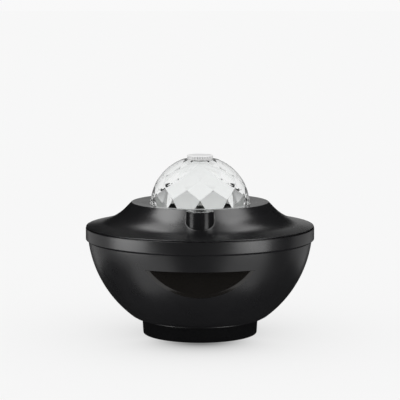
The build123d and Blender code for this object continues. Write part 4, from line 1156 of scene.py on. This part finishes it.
gem_corners = corner_points(outward, distance)
gem_facets = facet_loops(gem_corners, outward, distance)
gem_mesh = bpy.data.meshes.new("gem")
gem_mesh.from_pydata(((gem_corners + (0, 0, dome_centre)) * MM).tolist(), [], gem_facets)
face_out(gem_mesh)
print("gem corners:", len(gem_corners), "facets:", len(gem_facets))


# %% Dome: a turned outside with its flange, less the gem
air_gap = 0.06              # under the flange, so that no face of the glass touches another
vent_hole = 6.2
flange_top = dome_low[2] + flange_thickness
dome_foot = dome_low[2] + air_gap
table_edge = np.degrees(np.arcsin(dome_table / dome_radius))
dome_profile = np.vstack([
    [(vent_hole, dome_foot)],
    rounded(
        [(dome_radius, dome_foot), (dome_high[0], dome_foot),
         (dome_high[0], flange_top), (dome_radius, flange_top)],
        [0, 0.2, 0.2, 0],
    )[1:],
    arc((0, dome_centre), dome_radius, 0, table_edge, 90),
    [(vent_hole, dome_high[2])],
])
dome_piece = ring("cut_dome", dome_profile)
cut(dome_piece, "DIFFERENCE", new_object("gem", gem_mesh), facet_crease)
fit(dome_piece, "housing", "crystal_clear", "crystal_dome")

# %% [markdown]
# ## Lip and seal
# Two thin white rings hold the dome in its collar: a seal fills the gap round its wall, and the
# retainer's lip stands round its flange. The lowest facets look into that lip, so its finish has a
# faint painted glow, an emission that no lamp in the scene casts.

# %% Lip and seal round the dome
# A faint emission in the lip's finish: a painted glow, though no lamp lights it.
moulded(
    "lit_white", (0.86, 0.86, 0.85), 0.42, 0.006 * MM,
    Emission_Color=(1, 1, 1, 1), Emission_Strength=0.50,
)
upper_rounds = [0, 0, 0.1, 0.1]
flange_radius = dome_high[0]
lip_profile = band_profile(
    flange_radius + 0.15, flange_radius + 0.80, flange_top - 1.85, flange_top - 0.08, upper_rounds
)
fit(ring("retainer_lip", lip_profile, 240), "housing", "chassis_white", finish="lit_white")
seal_profile = band_profile(
    dome_radius + 0.06, dome_radius + 0.34, flange_top + 0.05, collar_height - 1.1, upper_rounds
)
fit(ring("dome_seal", seal_profile, 240), "housing", "chassis_white")

# %% [markdown]
# ## Vent cap
# A small white crown sits over the hole in the dome's flat top and lets the warm air out through
# a row of slots. Its edge is rounded over, and the slots are boxes cut from the turned cap's wall.

# %% Vent cap
cap_low, cap_high = box_mm("vent_cap")
cap_radius = cap_high[0]
cap_wall = 1.2
cap_roof = 0.75
slot_count = 32
slot_width = 0.75
slot_depth = 2.8
slot_low = cap_low[2] + 1.1
slot_high = cap_low[2] + 2.35
cap_inside = cap_radius - cap_wall
cap_profile = rounded(
    [(0, cap_high[2] - cap_roof), (cap_inside, cap_high[2] - cap_roof), (cap_inside, cap_low[2]),
     (cap_radius, cap_low[2]), (cap_radius, cap_high[2]), (0, cap_high[2])],
    [0, 0.3, 0.1, 0.15, 0.7, 0],
)
cap_piece = knob("vent_crown", cap_profile, 256)
slot = np.array([(-1, -1), (1, -1), (1, 1), (-1, 1)]) * (slot_depth / 2, slot_width / 2)
slot = slot + (cap_radius - 0.4, 0)
slots = [
    prism_parts(slot @ [(cos(turn), sin(turn)), (-sin(turn), cos(turn))], (0, 0, 0),
                slot_low, slot_high, axis="z")
    for turn in 2 * pi * np.arange(slot_count) / slot_count
]
cut(cap_piece, "DIFFERENCE", mesh_object("slots", slots))
fit(cap_piece, "housing", "vent_frost", "vent_cap")

# %% [markdown]
# ## What the softboxes light
# The softboxes belong to the black mouldings. In the clear dome they would stand as hard white
# squares, and the foot looks down at the sheet. Light linking gives a lamp a list of the objects
# that it reaches. Lamps above reach every moulding, those at the sides all but the cover, which
# they would only graze, and a low pair lights the cover alone, for the wall of its boss.

# %% Light linking
def receivers(name, chosen):
    """A collection of pieces, which a lamp can be bound to."""
    group = bpy.data.collections.new(name)
    for piece in chosen:
        group.objects.link(piece)
    print(name, len(chosen), "pieces")
    return group


unlit = {
    "floor", "cut_dome", "foot_band", "vent_crown", "ripple_disc", "condenser_lenses", "dome_seal",
}
in_scene = list(bpy.context.scene.objects)
lit = [item for item in in_scene if item.type == "MESH" and item.name not in unlit]
from_above = receivers("lit_from_above", lit)
from_aside = receivers("lit_from_aside", [item for item in lit if item != cover_piece])
at_boss = receivers("lit_at_boss", [cover_piece])
group_of = {"side": from_aside, "low": from_aside, "rear": from_aside, "boss": at_boss}
for lamp in in_scene:
    if lamp.type == "LIGHT":
        group = group_of.get(lamp.name.split("_")[0], from_above)
        lamp.light_linking.receiver_collection = group

# %% [markdown]
# ## Size of the looks
# The size of the finished looks is printed in millimetres.

# %% Sizes and end
low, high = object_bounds()
print("visual size in mm:", [round(side / MM, 2) for side in high - low])
